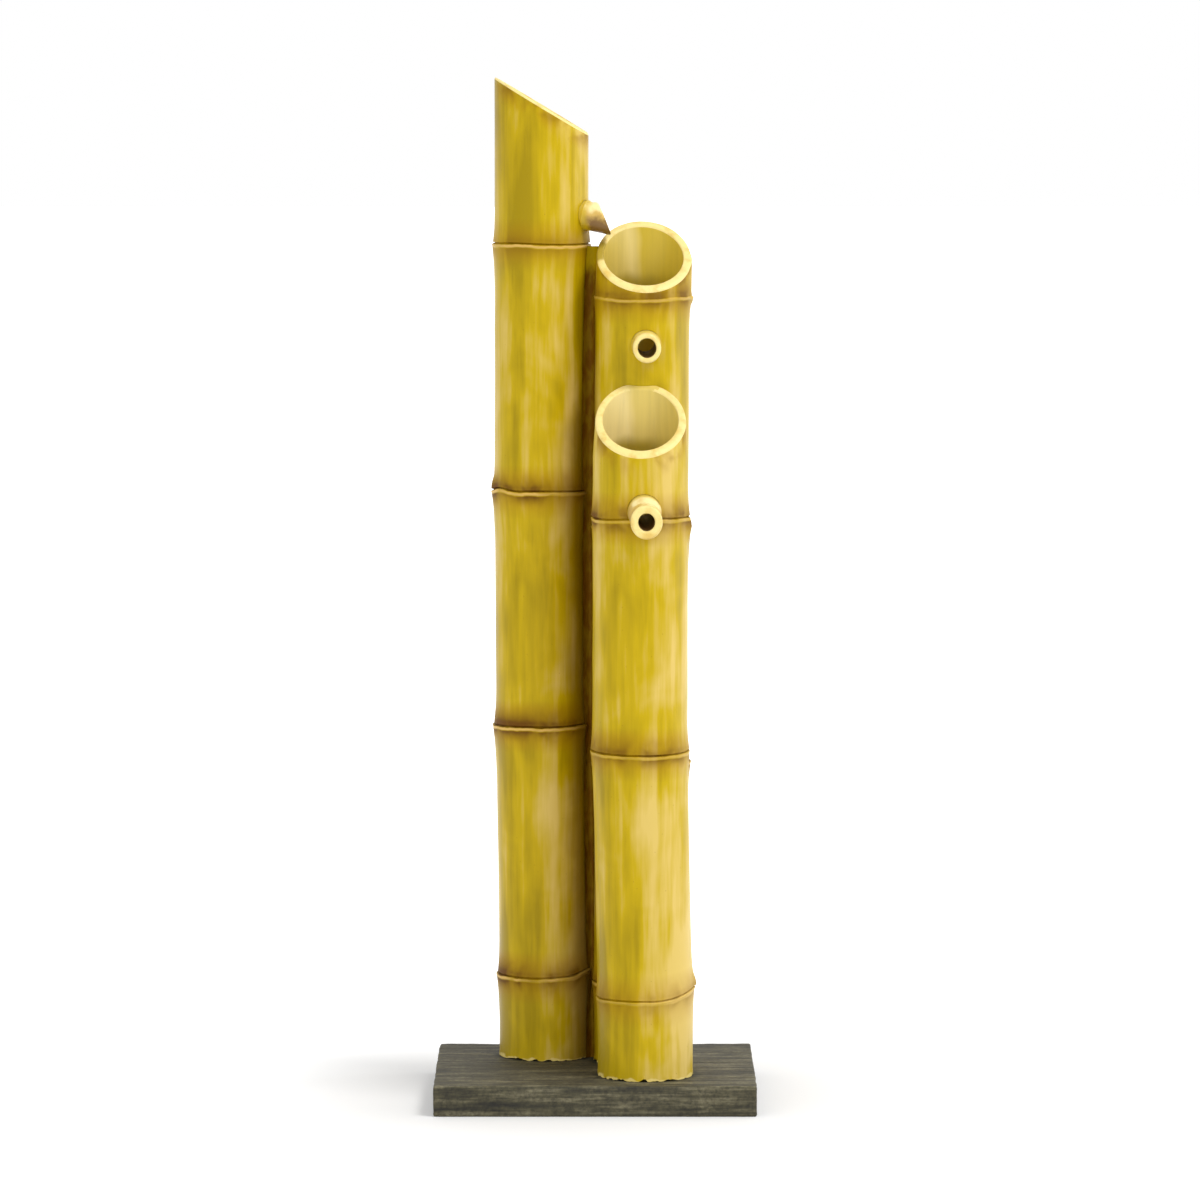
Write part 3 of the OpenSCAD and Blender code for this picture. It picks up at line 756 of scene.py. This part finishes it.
def slab_finish(name, feet, colours):
    """Weathered timber: dark, with bleached raised grain along X, specks, a top made lighter as
    painted light, and round the given feet of (x, y, radius) a dark ring of dirt and painted
    contact shade."""
    recipe = Recipe(name, colours, Roughness=0.72)
    grain = recipe.noise((9, 150, 150), detail=6, roughness=0.65, distortion=0.5)
    scratch = recipe.noise((35, 480, 480), detail=5, roughness=0.6)
    mottle = recipe.noise((60, 90, 90), detail=4, roughness=0.6)
    specks = recipe.noise(scale=480, detail=3, roughness=0.6)
    recipe.colour = recipe.ramp(recipe.blend((grain, 0.42), (scratch, 0.38), (mottle, 0.2)),
                                (0.38, linear([c * 0.45 for c in colours.slab_dark])),
                                (0.5, "slab_dark"), (0.62, "slab_pale"))
    # Painted light: faces that look up are made lighter, as the top of the slab is lit more
    facing = recipe.add("NewGeometry").outputs["True Normal"]
    recipe.shade(recipe.part("Z", facing), (0.3, 1.0), (0.9, 1.15))
    # Dirt and painted contact shade: a dark ring round each culm's foot
    for x, y, radius in feet:
        away = recipe.wander(recipe.away((x, y, 0), (1, 1, 0)), mottle, 2 * MM)
        recipe.coat(recipe.span(away, radius + 5 * MM, radius + 0.5 * MM, 0.0, 0.85),
                    "slab_dirt")
    recipe.shade(specks, (0.32, 0.6), (0.5, 1.0), (0.7, 1.4))
    recipe.bump(scratch, 0.5, 0.7)
    recipe.bump(specks, 0.2, 0.5)
    return recipe.finish()


def filler_finish(name, top, colours):
    """Brown filler, trowelled rough, and painted like the culms' skin at its top."""
    recipe = Recipe(name, colours, Roughness=0.6, Specular_IOR_Level=0.08)
    lumps = recipe.noise((1, 1, 0.4), scale=260, detail=4)
    recipe.colour = recipe.mix(recipe.span(lumps, 0.35, 0.7), "stain", "filler")
    under = recipe.wander(recipe.along("Z", (0, 0, top)), lumps, 2 * MM)
    recipe.coat(recipe.span(under, -20 * MM, -8 * MM, 0.0, 0.9), "skin_deep")
    recipe.bump(lumps, 0.8, 0.7)
    return recipe.finish()


def plain_finish(name, colour, roughness, metal=0.0, scale=400, bump=0.05, stretch=(1, 1, 1)):
    """A moulded, rubber, timber or metal finish: one colour with fine clouding and a bump."""
    recipe = Recipe(name, Metallic=metal)
    cloud = recipe.noise(stretch, scale=scale, detail=4)
    recipe.colour = colour + [1.0]
    recipe.shade(cloud, (0.3, 0.78), (0.7, 1.18))
    recipe.bump(cloud, bump, 0.6)
    return recipe.finish(recipe.wander(roughness, cloud, 0.08))


# Spouts: the culm, the outer diameter, the bore, the reach of the lower lip, and the height
# of the axis at the culm's skin. In degrees: the fall, the turn from +X towards -Y, how far
# the end is cut back at its top, and how far the cut is turned aside.
SPOUTS = {
    "tall_spout": dict(
        culm="tall_culm", diameter=18 * MM, bore=10.8 * MM, reach=17 * MM, turn=19.2,
        height=518.26 * MM, fall=8, cut_back=29, askew=23, end_finish=spout_finish),
    "middle_spout": dict(
        culm="middle_culm", diameter=17 * MM, bore=10.8 * MM, reach=12 * MM, turn=86,
        height=444 * MM, fall=10, cut_back=20, askew=0, end_finish=cut_finish),
    "front_spout": dict(
        culm="front_culm", diameter=19 * MM, bore=9.6 * MM, reach=22.5 * MM, turn=86,
        height=350.4 * MM, fall=15, cut_back=20, askew=0, end_finish=cut_finish),
}


# Culms

def read_culm(name, sizes):
    """A culm's places, from its node's box and its shares."""
    spec = CULMS[name]
    radius = sizes.diameter / 2
    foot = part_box(name)[0].z
    top = foot + spec["height"]
    plug_low, plug_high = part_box(spec["plug"])
    half = (plug_high.x - plug_low.x) / 2
    axis_x = plug_low.x + half - spec["drift_shares"][0] * radius
    heights = [0, *spec["ring_shares"], 1]
    points = [(axis_x + drift * radius, foot + spec["height"] * share)
              for share, drift in zip(heights, spec["drift_shares"])]
    tilt = (Matrix.Rotation(radians(spec["facing"]), 3, "Z")
            @ Matrix.Rotation(radians(spec["roll"]), 3, "Y")
            @ Matrix.Rotation(radians(spec["slope"]), 3, "X"))
    fall = radius * tan(radians(spec["slope"]))
    straight = top - 2 * fall - STRAIGHT_GAP - points[-2][1]
    pinch_length = PINCH_SHARE * (top - points[-2][1]) - straight
    return SimpleNamespace(
        name=name, spec=spec, radius=radius, bore=radius - sizes.wall, y=plug_low.y + half,
        points=points, foot=foot, straight=straight,
        narrowing=spec["pinch"] / 2 / pinch_length,
        cut_at=Vector((axis_x, plug_low.y + half, top - fall)),
        cut_normal=tilt @ Vector((0, 0, 1)), joint_at=None)


def read_culms(sizes):
    """All three culms, with the top of the filler's middle given to the two that it joins."""
    culms = {name: read_culm(name, sizes) for name in CULMS}
    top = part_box("culm_web")[1].z
    pair = [culms[name] for name in JOINED]
    ends = [Vector((culm.points[-2][0], culm.y, top)) for culm in pair]
    for culm in pair:
        culm.joint_at = (ends[0] + ends[1]) / 2
    return culms


def at_height(rows, z):
    """What rows of (x, z, ...) come to at a height, between two rows or past the last."""
    for low, high in zip(rows, rows[1:]):
        if z <= high[1]:
            break
    share = (z - low[1]) / (high[1] - low[1])
    return [a + share * (b - a) for a, b in zip(low, high)]


def drift_at(culm, z):
    """The x of a culm's centre at a height."""
    return at_height(culm.points, z)[0]


def end_narrowing(culm):
    """How far a culm has narrowed where its wall ends past the cut."""
    return culm.narrowing * (culm.points[-1][1] + PAST_CUT - culm.points[-2][1] - culm.straight)


def rise_rows(sizes):
    """Heights and outward steps of the crease and flare just over a ring."""
    crease, depth, flare = sizes.crease, sizes.crease_depth, sizes.flare
    rows = [(0.15 * crease, -0.6 * depth), (0.5 * crease, -depth), (0.85 * crease, -0.4 * depth)]
    for share in (0, 0.04, 0.1, 0.2, 0.35, 0.55, 0.8, 1):
        rows.append((crease + share * (sizes.flare_reach - crease), flare * (1 - share) ** 2))
    return rows


def swell_rows(length, share, sizes):
    """Heights and outward steps of the swelling and rounded lip just under the next ring."""
    reach, lip, swell = sizes.swell_reach, sizes.lip, sizes.swell * share
    rows = [(length - reach + part * (reach - lip), swell * part ** 2)
            for part in (0, 0.2, 0.4, 0.6, 0.75, 0.88, 0.95, 1)]
    rows += [(length - 0.7 * lip, swell + 0.12 * lip), (length - 0.4 * lip, swell + 0.1 * lip),
             (length - 0.18 * lip, swell - 0.1 * lip), (length, swell - 0.5 * lip)]
    return rows


def skin_rows(culm, sizes, grow=0.0):
    """Rows of (x, z, radius) up a culm's skin, close together at the rings."""
    last = len(culm.points) - 2
    rows = []
    for i, ((x0, z0), (x1, z1)) in enumerate(zip(culm.points, culm.points[1:])):
        length = z1 - z0
        steps = rise_rows(sizes) if i else [(height, 0) for height in FOOT_ROWS]
        if i == last:
            steps = [step for step in steps if step[0] < culm.straight - TOP_ROOM]
            steps += [(culm.straight, 0), (length + PAST_CUT, -end_narrowing(culm))]
        else:
            swelling = swell_rows(length, culm.spec["swells"][i], sizes)
            steps = [step for step in steps if step[0] < swelling[0][0] - SWELL_ROOM]
            low, high = steps[-1][0], swelling[0][0]
            count = max(int((high - low) / ROW_STEP), 1)
            steps += [(low + (high - low) * k / count, 0) for k in range(1, count)] + swelling
        rows += [(x0 + (x1 - x0) * h / length, z0 + h, culm.radius + out + grow)
                 for h, out in steps]
    return rows


def hollow_rows(culm, sizes):
    """Rows of (x, z, radius) for each stretch of a culm's inside, from the foot up."""
    bore, way, ease = culm.bore, culm.spec["way"] / 2, 1.5 * MM
    stretches, rows = [], [(culm.points[0][0], culm.foot, bore)]
    for number, (x, z) in enumerate(culm.points[1:-1], 1):
        if number in OPEN_SEPTA.get(culm.name, ()):
            continue
        ceiling, floor = z - sizes.septum_drop - sizes.septum, z - sizes.septum_drop
        rows += [(x, ceiling - ease, bore), (x, ceiling, bore - ease)]
        if number in WHOLE_SEPTA.get(culm.name, ()):
            stretches.append(rows + [(x, ceiling, bore / 2), (x, ceiling, 0)])
            dish = 0.8 * MM
            rows = [(x, floor - dish, 0), (x, floor - dish, bore / 3),
                    (x, floor - dish / 2, 2 * bore / 3)]
        else:
            rows += [(x, ceiling, way), (x, floor, way)]
        rows += [(x, floor, bore - ease), (x, floor + ease / 3, bore - ease / 3),
                 (x, floor + ease, bore)]
    z = culm.points[-2][1] + culm.straight
    rows = [row for row in rows if row[1] < z] + [(drift_at(culm, z), z, bore)]
    x, z = culm.points[-1]
    return stretches + [rows + [(x, z + PAST_CUT, bore - end_narrowing(culm))]]


def mark_rings(piece, culm):
    """Writes the nearest ring's stain and each corner's height over it to a UV map."""
    rings = [z for x, z in culm.points[1:-1]]
    layer = piece.data.uv_layers.new(name="rings")
    for face in piece.data.polygons:
        nearest = min(range(len(rings)), key=lambda ring: abs(rings[ring] - face.center.z))
        for corner in face.loop_indices:
            spot = piece.data.vertices[piece.data.loops[corner].vertex_index].co
            layer.data[corner].uv = (culm.spec["stains"][nearest], spot.z - rings[nearest])


def outward(degrees):
    """The level direction that lies so far round from +X."""
    return Vector((math.cos(radians(degrees)), math.sin(radians(degrees)), 0))


def pole_tool(culm, sizes, grow):
    """A solid copy of a culm's skin, run on below its foot, to cut its neighbour with."""
    (x, z, radius), *rows = skin_rows(culm, sizes, grow)
    tool = begin_wall("pole_tool", [(x, z - PAST_CUT, radius), *rows], culm.y, CULM_SIDES,
                      fill_type="NGON")
    face_outward()
    close_edit()
    return tool


def spout_frame(name, culms):
    """The place and turn of a spout: its +Z runs out along it, and its +X is its underside."""
    spec = SPOUTS[name]
    culm = culms[spec["culm"]]
    centre = Vector((drift_at(culm, spec["height"]), culm.y, spec["height"]))
    skin = centre + outward(-spec["turn"]) * culm.radius
    return (Matrix.Translation(skin) @ Matrix.Rotation(radians(-spec["turn"]), 4, "Z")
            @ Matrix.Rotation(radians(90 + spec["fall"]), 4, "Y"))


def hole_tool(frame_of, radius, back, front):
    """A drill that reaches back and forward along Z of the frame it is given."""
    length = back + front
    tool = begin("drill", bpy.ops.mesh.primitive_cylinder_add, vertices=SPOUT_SIDES,
                 radius=radius, depth=length, location=(0, 0, front - length / 2))
    close_edit()
    tool.matrix_world = frame_of
    bpy.context.view_layer.update()
    return tool


def model_culm(culm, sizes, colours, neighbour):
    """A culm as a hollow cane with rings, buds, a sawn rim and a chipped foot."""
    piece = begin_wall(culm.name + "_cane", skin_rows(culm, sizes), culm.y, CULM_SIDES)
    face_outward()
    close_edit()
    add_finishes(piece, (skin_finish, inside_finish, cut_finish), culm, colours)
    shape_skin(piece, culm, sizes)
    alone(piece, "EDIT")
    for rows in hollow_rows(culm, sizes):
        add_wall(piece, rows, culm.y, CULM_SIDES)
    if neighbour:
        press_in(piece, culm, neighbour, sizes)
    half_way = (culm.bore + culm.radius) / 2
    close_foot(piece, Vector((culm.points[0][0], culm.y, culm.foot)), half_way)
    above = culm.points[-2][1] + culm.straight
    saw_off(piece, culm.cut_at, culm.cut_normal, culm.cut_at,
            lambda z: half_way - culm.narrowing * (z - above),
            (sizes.rim_inside, sizes.rim_round))
    if neighbour:
        # The rim's thin stretch in front of the neighbour is painted over
        reach = neighbour.radius + sizes.flare + NEST_WALL + RIM_PAINTED
        pick(piece, "FACE", lambda face: face.material_index == CUT and math.hypot(
            face.calc_center_median().x - neighbour.points[-2][0],
            face.calc_center_median().y - neighbour.y) < reach)
        mark(piece, INSIDE)
    face_outward()
    close_edit()
    chip_foot(piece, culm, sizes)
    return piece


def press_in(piece, culm, neighbour, sizes):
    """Presses the inner wall in where a culm nests round its neighbour, so that a thin wall
    still covers the neighbour's skin."""
    reach = neighbour.radius + sizes.flare + NEST_WALL
    mesh = bmesh.from_edit_mesh(piece.data)
    for vertex in mesh.verts:
        centre = Vector((drift_at(neighbour, vertex.co.z), neighbour.y, vertex.co.z))
        own = Vector((drift_at(culm, vertex.co.z), culm.y, vertex.co.z))
        away = vertex.co - centre
        if (vertex.co - own).length < culm.bore + NEST_WALL and away.length < reach:
            vertex.co = centre + away.normalized() * reach
    bmesh.update_edit_mesh(piece.data)


def shape_skin(piece, culm, sizes):
    """Gives a culm's skin its uneven surface, wavering rings, climbs and buds."""
    mark_rings(piece, culm)
    rings = [z for x, z in culm.points[1:-1]]
    whole = group(piece, "skin", lambda co: min(
        (co.z - culm.foot) / (5 * MM), min(abs(co.z - z) for z in rings) / (8 * MM), 1))
    roughen(piece, whole, scale=38 * MM, depth=sizes.unevenness)
    near = group(piece, "rings", lambda co: max(
        1 - min(abs(co.z - z) for z in rings) / (9 * MM), 0))
    roughen(piece, near, scale=42 * MM, depth=sizes.ring_waver * 2, direction="Z", middle=0.5,
            octaves=0)
    for number, angle, lift, reach in culm.spec["climbs"]:
        x, z = culm.points[number]
        pull(piece, Vector((x, culm.y, z)) + outward(angle) * culm.radius, (0, 0, lift), reach)
    for number, angle, over, out_by in culm.spec["buds"]:
        x, z = culm.points[number]
        out = outward(angle)
        spot = Vector((x, culm.y, z + over)) + out * culm.radius
        pull(piece, spot, out * out_by, reach=7 * MM)
        pull(piece, spot - Vector((0, 0, 3 * MM)), out * out_by * 0.4, reach=4 * MM)


def chip_foot(piece, culm, sizes):
    """Breaks the foot's lower edge into small chips."""
    edge = group(piece, "foot", lambda co: co.z - culm.foot < 1 * MM and (
        math.hypot(co.x - culm.points[0][0], co.y - culm.y) > culm.radius - 1 * MM))
    roughen(piece, edge, scale=4 * MM, depth=sizes.foot_chip, direction="Z", middle=0.45,
            contrast=2)
    for vertex in piece.data.vertices:
        vertex.co.z = max(vertex.co.z, culm.foot)


def add_finishes(piece, kinds, places, colours):
    """Fills a piece's slots with its own finishes, in the order of SKIN, INSIDE and CUT."""
    for kind, word in zip(kinds, ("skin", "inside", "cut")):
        piece.data.materials.append(kind(f"{piece.name}_{word}", places, colours))


def model_filler(culms, sizes):
    """A strip of filler between two culms, with hollow faces."""
    low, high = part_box("culm_web")
    top = high.z + FILLER_RISE
    piece = begin("filler", bpy.ops.mesh.primitive_cube_add, size=2,
                  location=(0, 0, (low.z + top) / 2), scale=(1, 1, (top - low.z) / 2))
    slice_up(0, -1, 1, FILLER_ACROSS)
    slice_up(1, -1, 1, FILLER_THROUGH)
    slice_up(2, low.z, top, round((top - low.z) / FILLER_CELL))
    pair = [culms[name] for name in JOINED]
    skins = [skin_rows(culm, sizes, FILLER_GAP) for culm in pair]
    mesh = bmesh.from_edit_mesh(piece.data)
    for vertex in mesh.verts:
        across, through, z = vertex.co
        (x0, z0, r0), (x1, z1, r1) = [at_height(rows, z) for rows in skins]
        ends = Vector((x0, pair[0].y)), Vector((x1, pair[1].y))
        along = (ends[1] - ends[0]).normalized()
        front = Vector((along.y, -along.x))
        thick = FILLER_LEFT + (1 - FILLER_LEFT) * min((top - z) / FILLER_THIN, 1)
        out = through * thick * (FILLER_HALF - FILLER_DIP * (1 - across * across))
        near = [ends[0] + along * math.sqrt(r0 * r0 - out * out),
                ends[1] - along * math.sqrt(r1 * r1 - out * out)]
        flat = near[0].lerp(near[1], (across + 1) / 2) - front * out
        vertex.co = (flat.x, flat.y, z)
    bmesh.update_edit_mesh(piece.data)
    face_outward()
    close_edit()
    everywhere = group(piece, "rough", lambda co: min((co.z - low.z) / (2 * MM), 1))
    roughen(piece, everywhere, scale=8 * MM, depth=0.8 * MM)
    return piece


def model_spout(name, culms, sizes, colours):
    """A spout as a short branch stub: swollen root, slight waist and a worn lip."""
    spec = SPOUTS[name]
    radius, bore, reach = spec["diameter"] / 2, spec["bore"] / 2, spec["reach"]
    cut, askew = radians(spec["cut_back"]), radians(spec["askew"])
    steep = tan(cut) / math.cos(askew)
    straight = reach - radius * (steep + math.hypot(steep, tan(askew))) - SPOUT_GAP
    waist = radius - 0.35 * MM
    skin = [(0, -sizes.inside, radius - 0.1 * MM), (0, -1 * MM, radius - 0.1 * MM)]
    skin += [(0, share * straight, waist + (radius + sizes.root_swell - waist) * (1 - share) ** 2)
             for share in (0.05, 0.2, 0.35, 0.5, 0.75, 1)]
    skin += [(0, reach + PAST_CUT, radius + 0.6 * MM)]
    piece = begin_wall(name + "_stub", skin, 0, SPOUT_SIDES)
    close_edit()
    culm = culms[spec["culm"]]
    places = SimpleNamespace(
        cut_at=spout_frame(name, culms).translation, joint_at=None,
        culm_at=(drift_at(culm, spec["height"]), culm.y, 0), culm_radius=culm.radius)
    add_finishes(piece, (spout_finish, bore_finish, spec["end_finish"]), places, colours)
    alone(piece, "EDIT")
    add_wall(piece, [(0, -sizes.inside, bore), (0, reach + PAST_CUT, bore)], 0, SPOUT_SIDES)
    back, half_way = Vector((0, 0, -sizes.inside)), (bore + radius) / 2
    close_foot(piece, back, half_way)
    lip_at = Vector((radius, 0, reach))
    lip_normal = Vector((-math.sin(cut), math.sin(askew) * math.cos(cut),
                         math.cos(askew) * math.cos(cut)))
    saw_off(piece, lip_at, lip_normal, back, lambda z: half_way,
            (sizes.bore_round, sizes.lip_round), steps=4)
    face_outward()
    close_edit()
    lumpy = group(piece, "lumpy", lambda co: 0 < co.z < straight + 1 * MM and (
        math.hypot(co.x, co.y) > half_way))
    roughen(piece, lumpy, scale=9 * MM, depth=sizes.unevenness)
    alone(piece)
    piece.matrix_world = spout_frame(name, culms)
    bpy.ops.object.transform_apply(location=True, rotation=True, scale=True)
    return piece


# Operators

class FountainOperator:
    """What the operators share."""
    bl_options = {"REGISTER", "UNDO"}


class FOUNTAIN_OT_add_culms(FountainOperator, bpy.types.Operator):
    """Model the three culms, each drilled for its spout"""
    bl_idname = "fountain.add_culms"
    bl_label = "Add Culms"

    def execute(self, context):
        sizes, colours = context.scene.fountain_culm, context.scene.fountain_finish
        culms = read_culms(sizes)
        for name, culm in culms.items():
            neighbour = culms.get(culm.spec.get("nests_round"))
            piece = model_culm(culm, sizes, colours, neighbour)
            if neighbour:
                carve(piece, pole_tool(neighbour, sizes, CLEARANCE))
            spout = name.replace("culm", "spout")
            inside = context.scene.fountain_spout.inside + 2 * MM
            carve(piece, hole_tool(spout_frame(spout, culms),
                                   SPOUTS[spout]["diameter"] / 2 + CLEARANCE, inside,
                                   PAST_CUT))
            finish_piece(piece, name)
        return {"FINISHED"}


class FOUNTAIN_OT_add_spouts(FountainOperator, bpy.types.Operator):
    """Model the three spouts"""
    bl_idname = "fountain.add_spouts"
    bl_label = "Add Spouts"

    def execute(self, context):
        sizes, colours = context.scene.fountain_spout, context.scene.fountain_finish
        culms = read_culms(context.scene.fountain_culm)
        for name in SPOUTS:
            piece = model_spout(name, culms, sizes, colours)
            finish_piece(piece, name, angle=50)
        return {"FINISHED"}


class FOUNTAIN_OT_add_slab(FountainOperator, bpy.types.Operator):
    """Model the weathered slab"""
    bl_idname = "fountain.add_slab"
    bl_label = "Add Slab"

    def execute(self, context):
        sizes, colours = context.scene.fountain_slab, context.scene.fountain_finish
        low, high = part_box("base_slab")
        piece = begin("slab", bpy.ops.mesh.primitive_cube_add, size=1,
                      location=(low + high) / 2, scale=high - low)
        bpy.ops.mesh.bevel(offset=sizes.edge_round, segments=3, profile=0.5, affect="EDGES")
        for axis in range(3):
            first, last = low[axis] + sizes.edge_round, high[axis] - sizes.edge_round
            slice_up(axis, first, last, max(round((last - first) / sizes.cell), 1))
        close_edit()
        guide = bpy.data.objects.new("grain_guide", None)
        context.scene.collection.objects.link(guide)
        guide.scale = (9, 1, 1)
        context.view_layer.update()
        everywhere = group(piece, "grain", lambda co: min((co.z - low.z) / (2 * MM), 1))
        roughen(piece, everywhere, scale=5 * MM, depth=sizes.grain_depth, middle=0.7,
                guide=guide)

        def wear(co):
            near = sorted(min(co[k] - low[k], high[k] - co[k]) for k in range(3))
            return max(1 - near[1] / (5 * MM), 0) * min((co.z - low.z) / (2 * MM), 1)

        roughen(piece, group(piece, "edges", wear), scale=11 * MM, depth=sizes.edge_wear,
                middle=0.65)
        for vertex in piece.data.vertices:
            vertex.co = [min(max(vertex.co[k], low[k]), high[k]) for k in range(3)]
        bpy.data.objects.remove(guide)
        culms = read_culms(context.scene.fountain_culm)
        feet = [(culm.points[0][0], culm.y, culm.radius) for culm in culms.values()]
        piece.data.materials.append(slab_finish("slab_timber", feet, colours))
        finish_piece(piece, "base_slab", angle=60)
        return {"FINISHED"}


class FOUNTAIN_OT_add_filler(FountainOperator, bpy.types.Operator):
    """Model the rough filler between the tall and the middle culm"""
    bl_idname = "fountain.add_filler"
    bl_label = "Add Filler"

    def execute(self, context):
        sizes, colours = context.scene.fountain_culm, context.scene.fountain_finish
        piece = model_filler(read_culms(sizes), sizes)
        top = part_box("culm_web")[1].z + FILLER_RISE
        piece.data.materials.append(filler_finish("web_filler", top, colours))
        finish_piece(piece, "culm_web", angle=60)
        return {"FINISHED"}


class FOUNTAIN_OT_dress_fittings(FountainOperator, bpy.types.Operator):
    """Give the nodes that keep their own shape their finishes"""
    bl_idname = "fountain.dress_fittings"
    bl_label = "Dress Fittings"

    def execute(self, context):
        timber = plain_finish("plug_timber", [0.36, 0.22, 0.10], 0.7, scale=90,
                              bump=0.3, stretch=(1, 6, 6))
        vinyl = plain_finish("hose_vinyl", [0.012, 0.012, 0.012], 0.35)
        moulded = plain_finish("fitting_plastic", [0.018, 0.018, 0.018], 0.45, scale=900)
        rubber = plain_finish("gasket_rubber", [0.01, 0.01, 0.01], 0.75, scale=700)
        steel = plain_finish("bright_steel", [0.55, 0.55, 0.53], 0.28, metal=1.0, scale=300,
                             bump=0.02, stretch=(1, 1, 12))
        for finish, names in (
                (timber, "middle_cup_floor tall_foot_plug middle_foot_plug front_foot_plug"),
                (moulded, "inlet_elbow inlet_spigot outlet_elbow"), (vinyl, "riser_hose"),
                (rubber, "inlet_gasket"), (steel, "foot_screws hose_clips")):
            for name in names.split():
                materials = frame["nodes"][name].data.materials
                materials.clear()
                materials.append(finish)
        return {"FINISHED"}


def floor_finish(stage):
    """A white floor that keeps shadows: where it is looked at, it is lifted to white."""
    recipe = Recipe("floor", stage, Roughness=0.9)
    recipe.put(recipe.shader.inputs["Base Color"], "floor")
    lift = recipe.span(recipe.away((0, 0, 0)), 100 * MM, stage.floor_reach, stage.floor_lift, 1.0)
    glow = recipe.add("Emission", {"Strength": recipe.times(recipe.looked_at(), lift)})
    both = recipe.add("AddShader", {0: recipe.shader.outputs[0], 1: glow.outputs[0]})
    recipe.put(recipe.nodes["Material Output"].inputs["Surface"], both.outputs[0])
    return recipe.material


# Each soft square lamp's place and side in metres, and the point that all of them look at
LAMPS = {"key": ((1.95, -1.35, 3.7), 1.3), "side": ((3.9, 0.9, 0.9), 1.2),
         "fill": ((-2.2, -3.4, 0.8), 2.8)}
LIT_AT = Vector((0, 0, 0.32))


class FOUNTAIN_OT_add_stage(FountainOperator, bpy.types.Operator):
    """Add the floor, the lamps, the sky and the camera"""
    bl_idname = "fountain.add_stage"
    bl_label = "Add Stage"

    def execute(self, context):
        scene, stage = context.scene, context.scene.fountain_stage
        floor = begin("floor", bpy.ops.mesh.primitive_plane_add, size=40)
        close_edit()
        floor.data.materials.append(floor_finish(stage))
        for name, (place, side) in LAMPS.items():
            bpy.ops.object.light_add(type="AREA", location=place)
            lamp = context.object
            lamp.name, lamp.data.size, lamp.data.energy = name, side, getattr(stage, name)
            lamp.rotation_euler = (LIT_AT - lamp.location).to_track_quat("-Z", "Y").to_euler()
            lamp.visible_glossy = name != "fill"
        self.add_sky(scene, stage.sky)
        bpy.ops.object.camera_add(location=(stage.camera_right, -stage.camera_back,
                                            stage.camera_up),
                                  rotation=(radians(90) - stage.camera_dip, 0, 0))
        camera = context.object
        camera.data.lens = stage.lens
        camera.data.clip_end = 100
        scene.camera = camera
        scene.view_settings.view_transform = "Standard"
        return {"FINISHED"}

    def add_sky(self, scene, strength):
        """White where the camera, gloss and glass look at it, and plain soft light elsewhere."""
        scene.world = scene.world or bpy.data.worlds.new("sky")
        sky = Tree(scene.world)
        sky.nodes.clear()
        level = sky.span(sky.looked_at(), 0.0, 1.0, strength, curve="LINEAR")
        light = sky.add("Background", {"Color": (1, 1, 1, 1), "Strength": level})
        sky.add("OutputWorld", {"Surface": light.outputs[0]})


class FOUNTAIN_PT_panel(bpy.types.Panel):
    """Lists the fountain's operators and sizes"""
    bl_idname = "FOUNTAIN_PT_panel"
    bl_label = "Fountain"
    bl_space_type = "VIEW_3D"
    bl_region_type = "UI"
    bl_category = "Fountain"

    def draw(self, context):
        for operator in OPERATORS:
            self.layout.operator(operator.bl_idname)
        for name, kind in GROUPS.items():
            box = self.layout.box()
            box.label(text=kind.__doc__)
            for size_name in kind.__annotations__:
                box.prop(getattr(context.scene, name), size_name)


OPERATORS = (FOUNTAIN_OT_add_stage, FOUNTAIN_OT_add_culms, FOUNTAIN_OT_add_spouts,
             FOUNTAIN_OT_add_slab, FOUNTAIN_OT_add_filler, FOUNTAIN_OT_dress_fittings)
CLASSES = (*GROUPS.values(), *OPERATORS, FOUNTAIN_PT_panel)


def register():
    for kind in CLASSES:
        bpy.utils.register_class(kind)
    for name, kind in GROUPS.items():
        setattr(bpy.types.Scene, name, PointerProperty(type=kind))


def unregister():
    for name in GROUPS:
        delattr(bpy.types.Scene, name)
    for kind in reversed(CLASSES):
        bpy.utils.unregister_class(kind)


def main():
    register()
    bpy.ops.fountain.add_stage()
    bpy.ops.fountain.add_culms()
    bpy.ops.fountain.add_spouts()
    bpy.ops.fountain.add_slab()
    bpy.ops.fountain.add_filler()
    bpy.ops.fountain.dress_fittings()


if __name__ == "__main__":
    main()
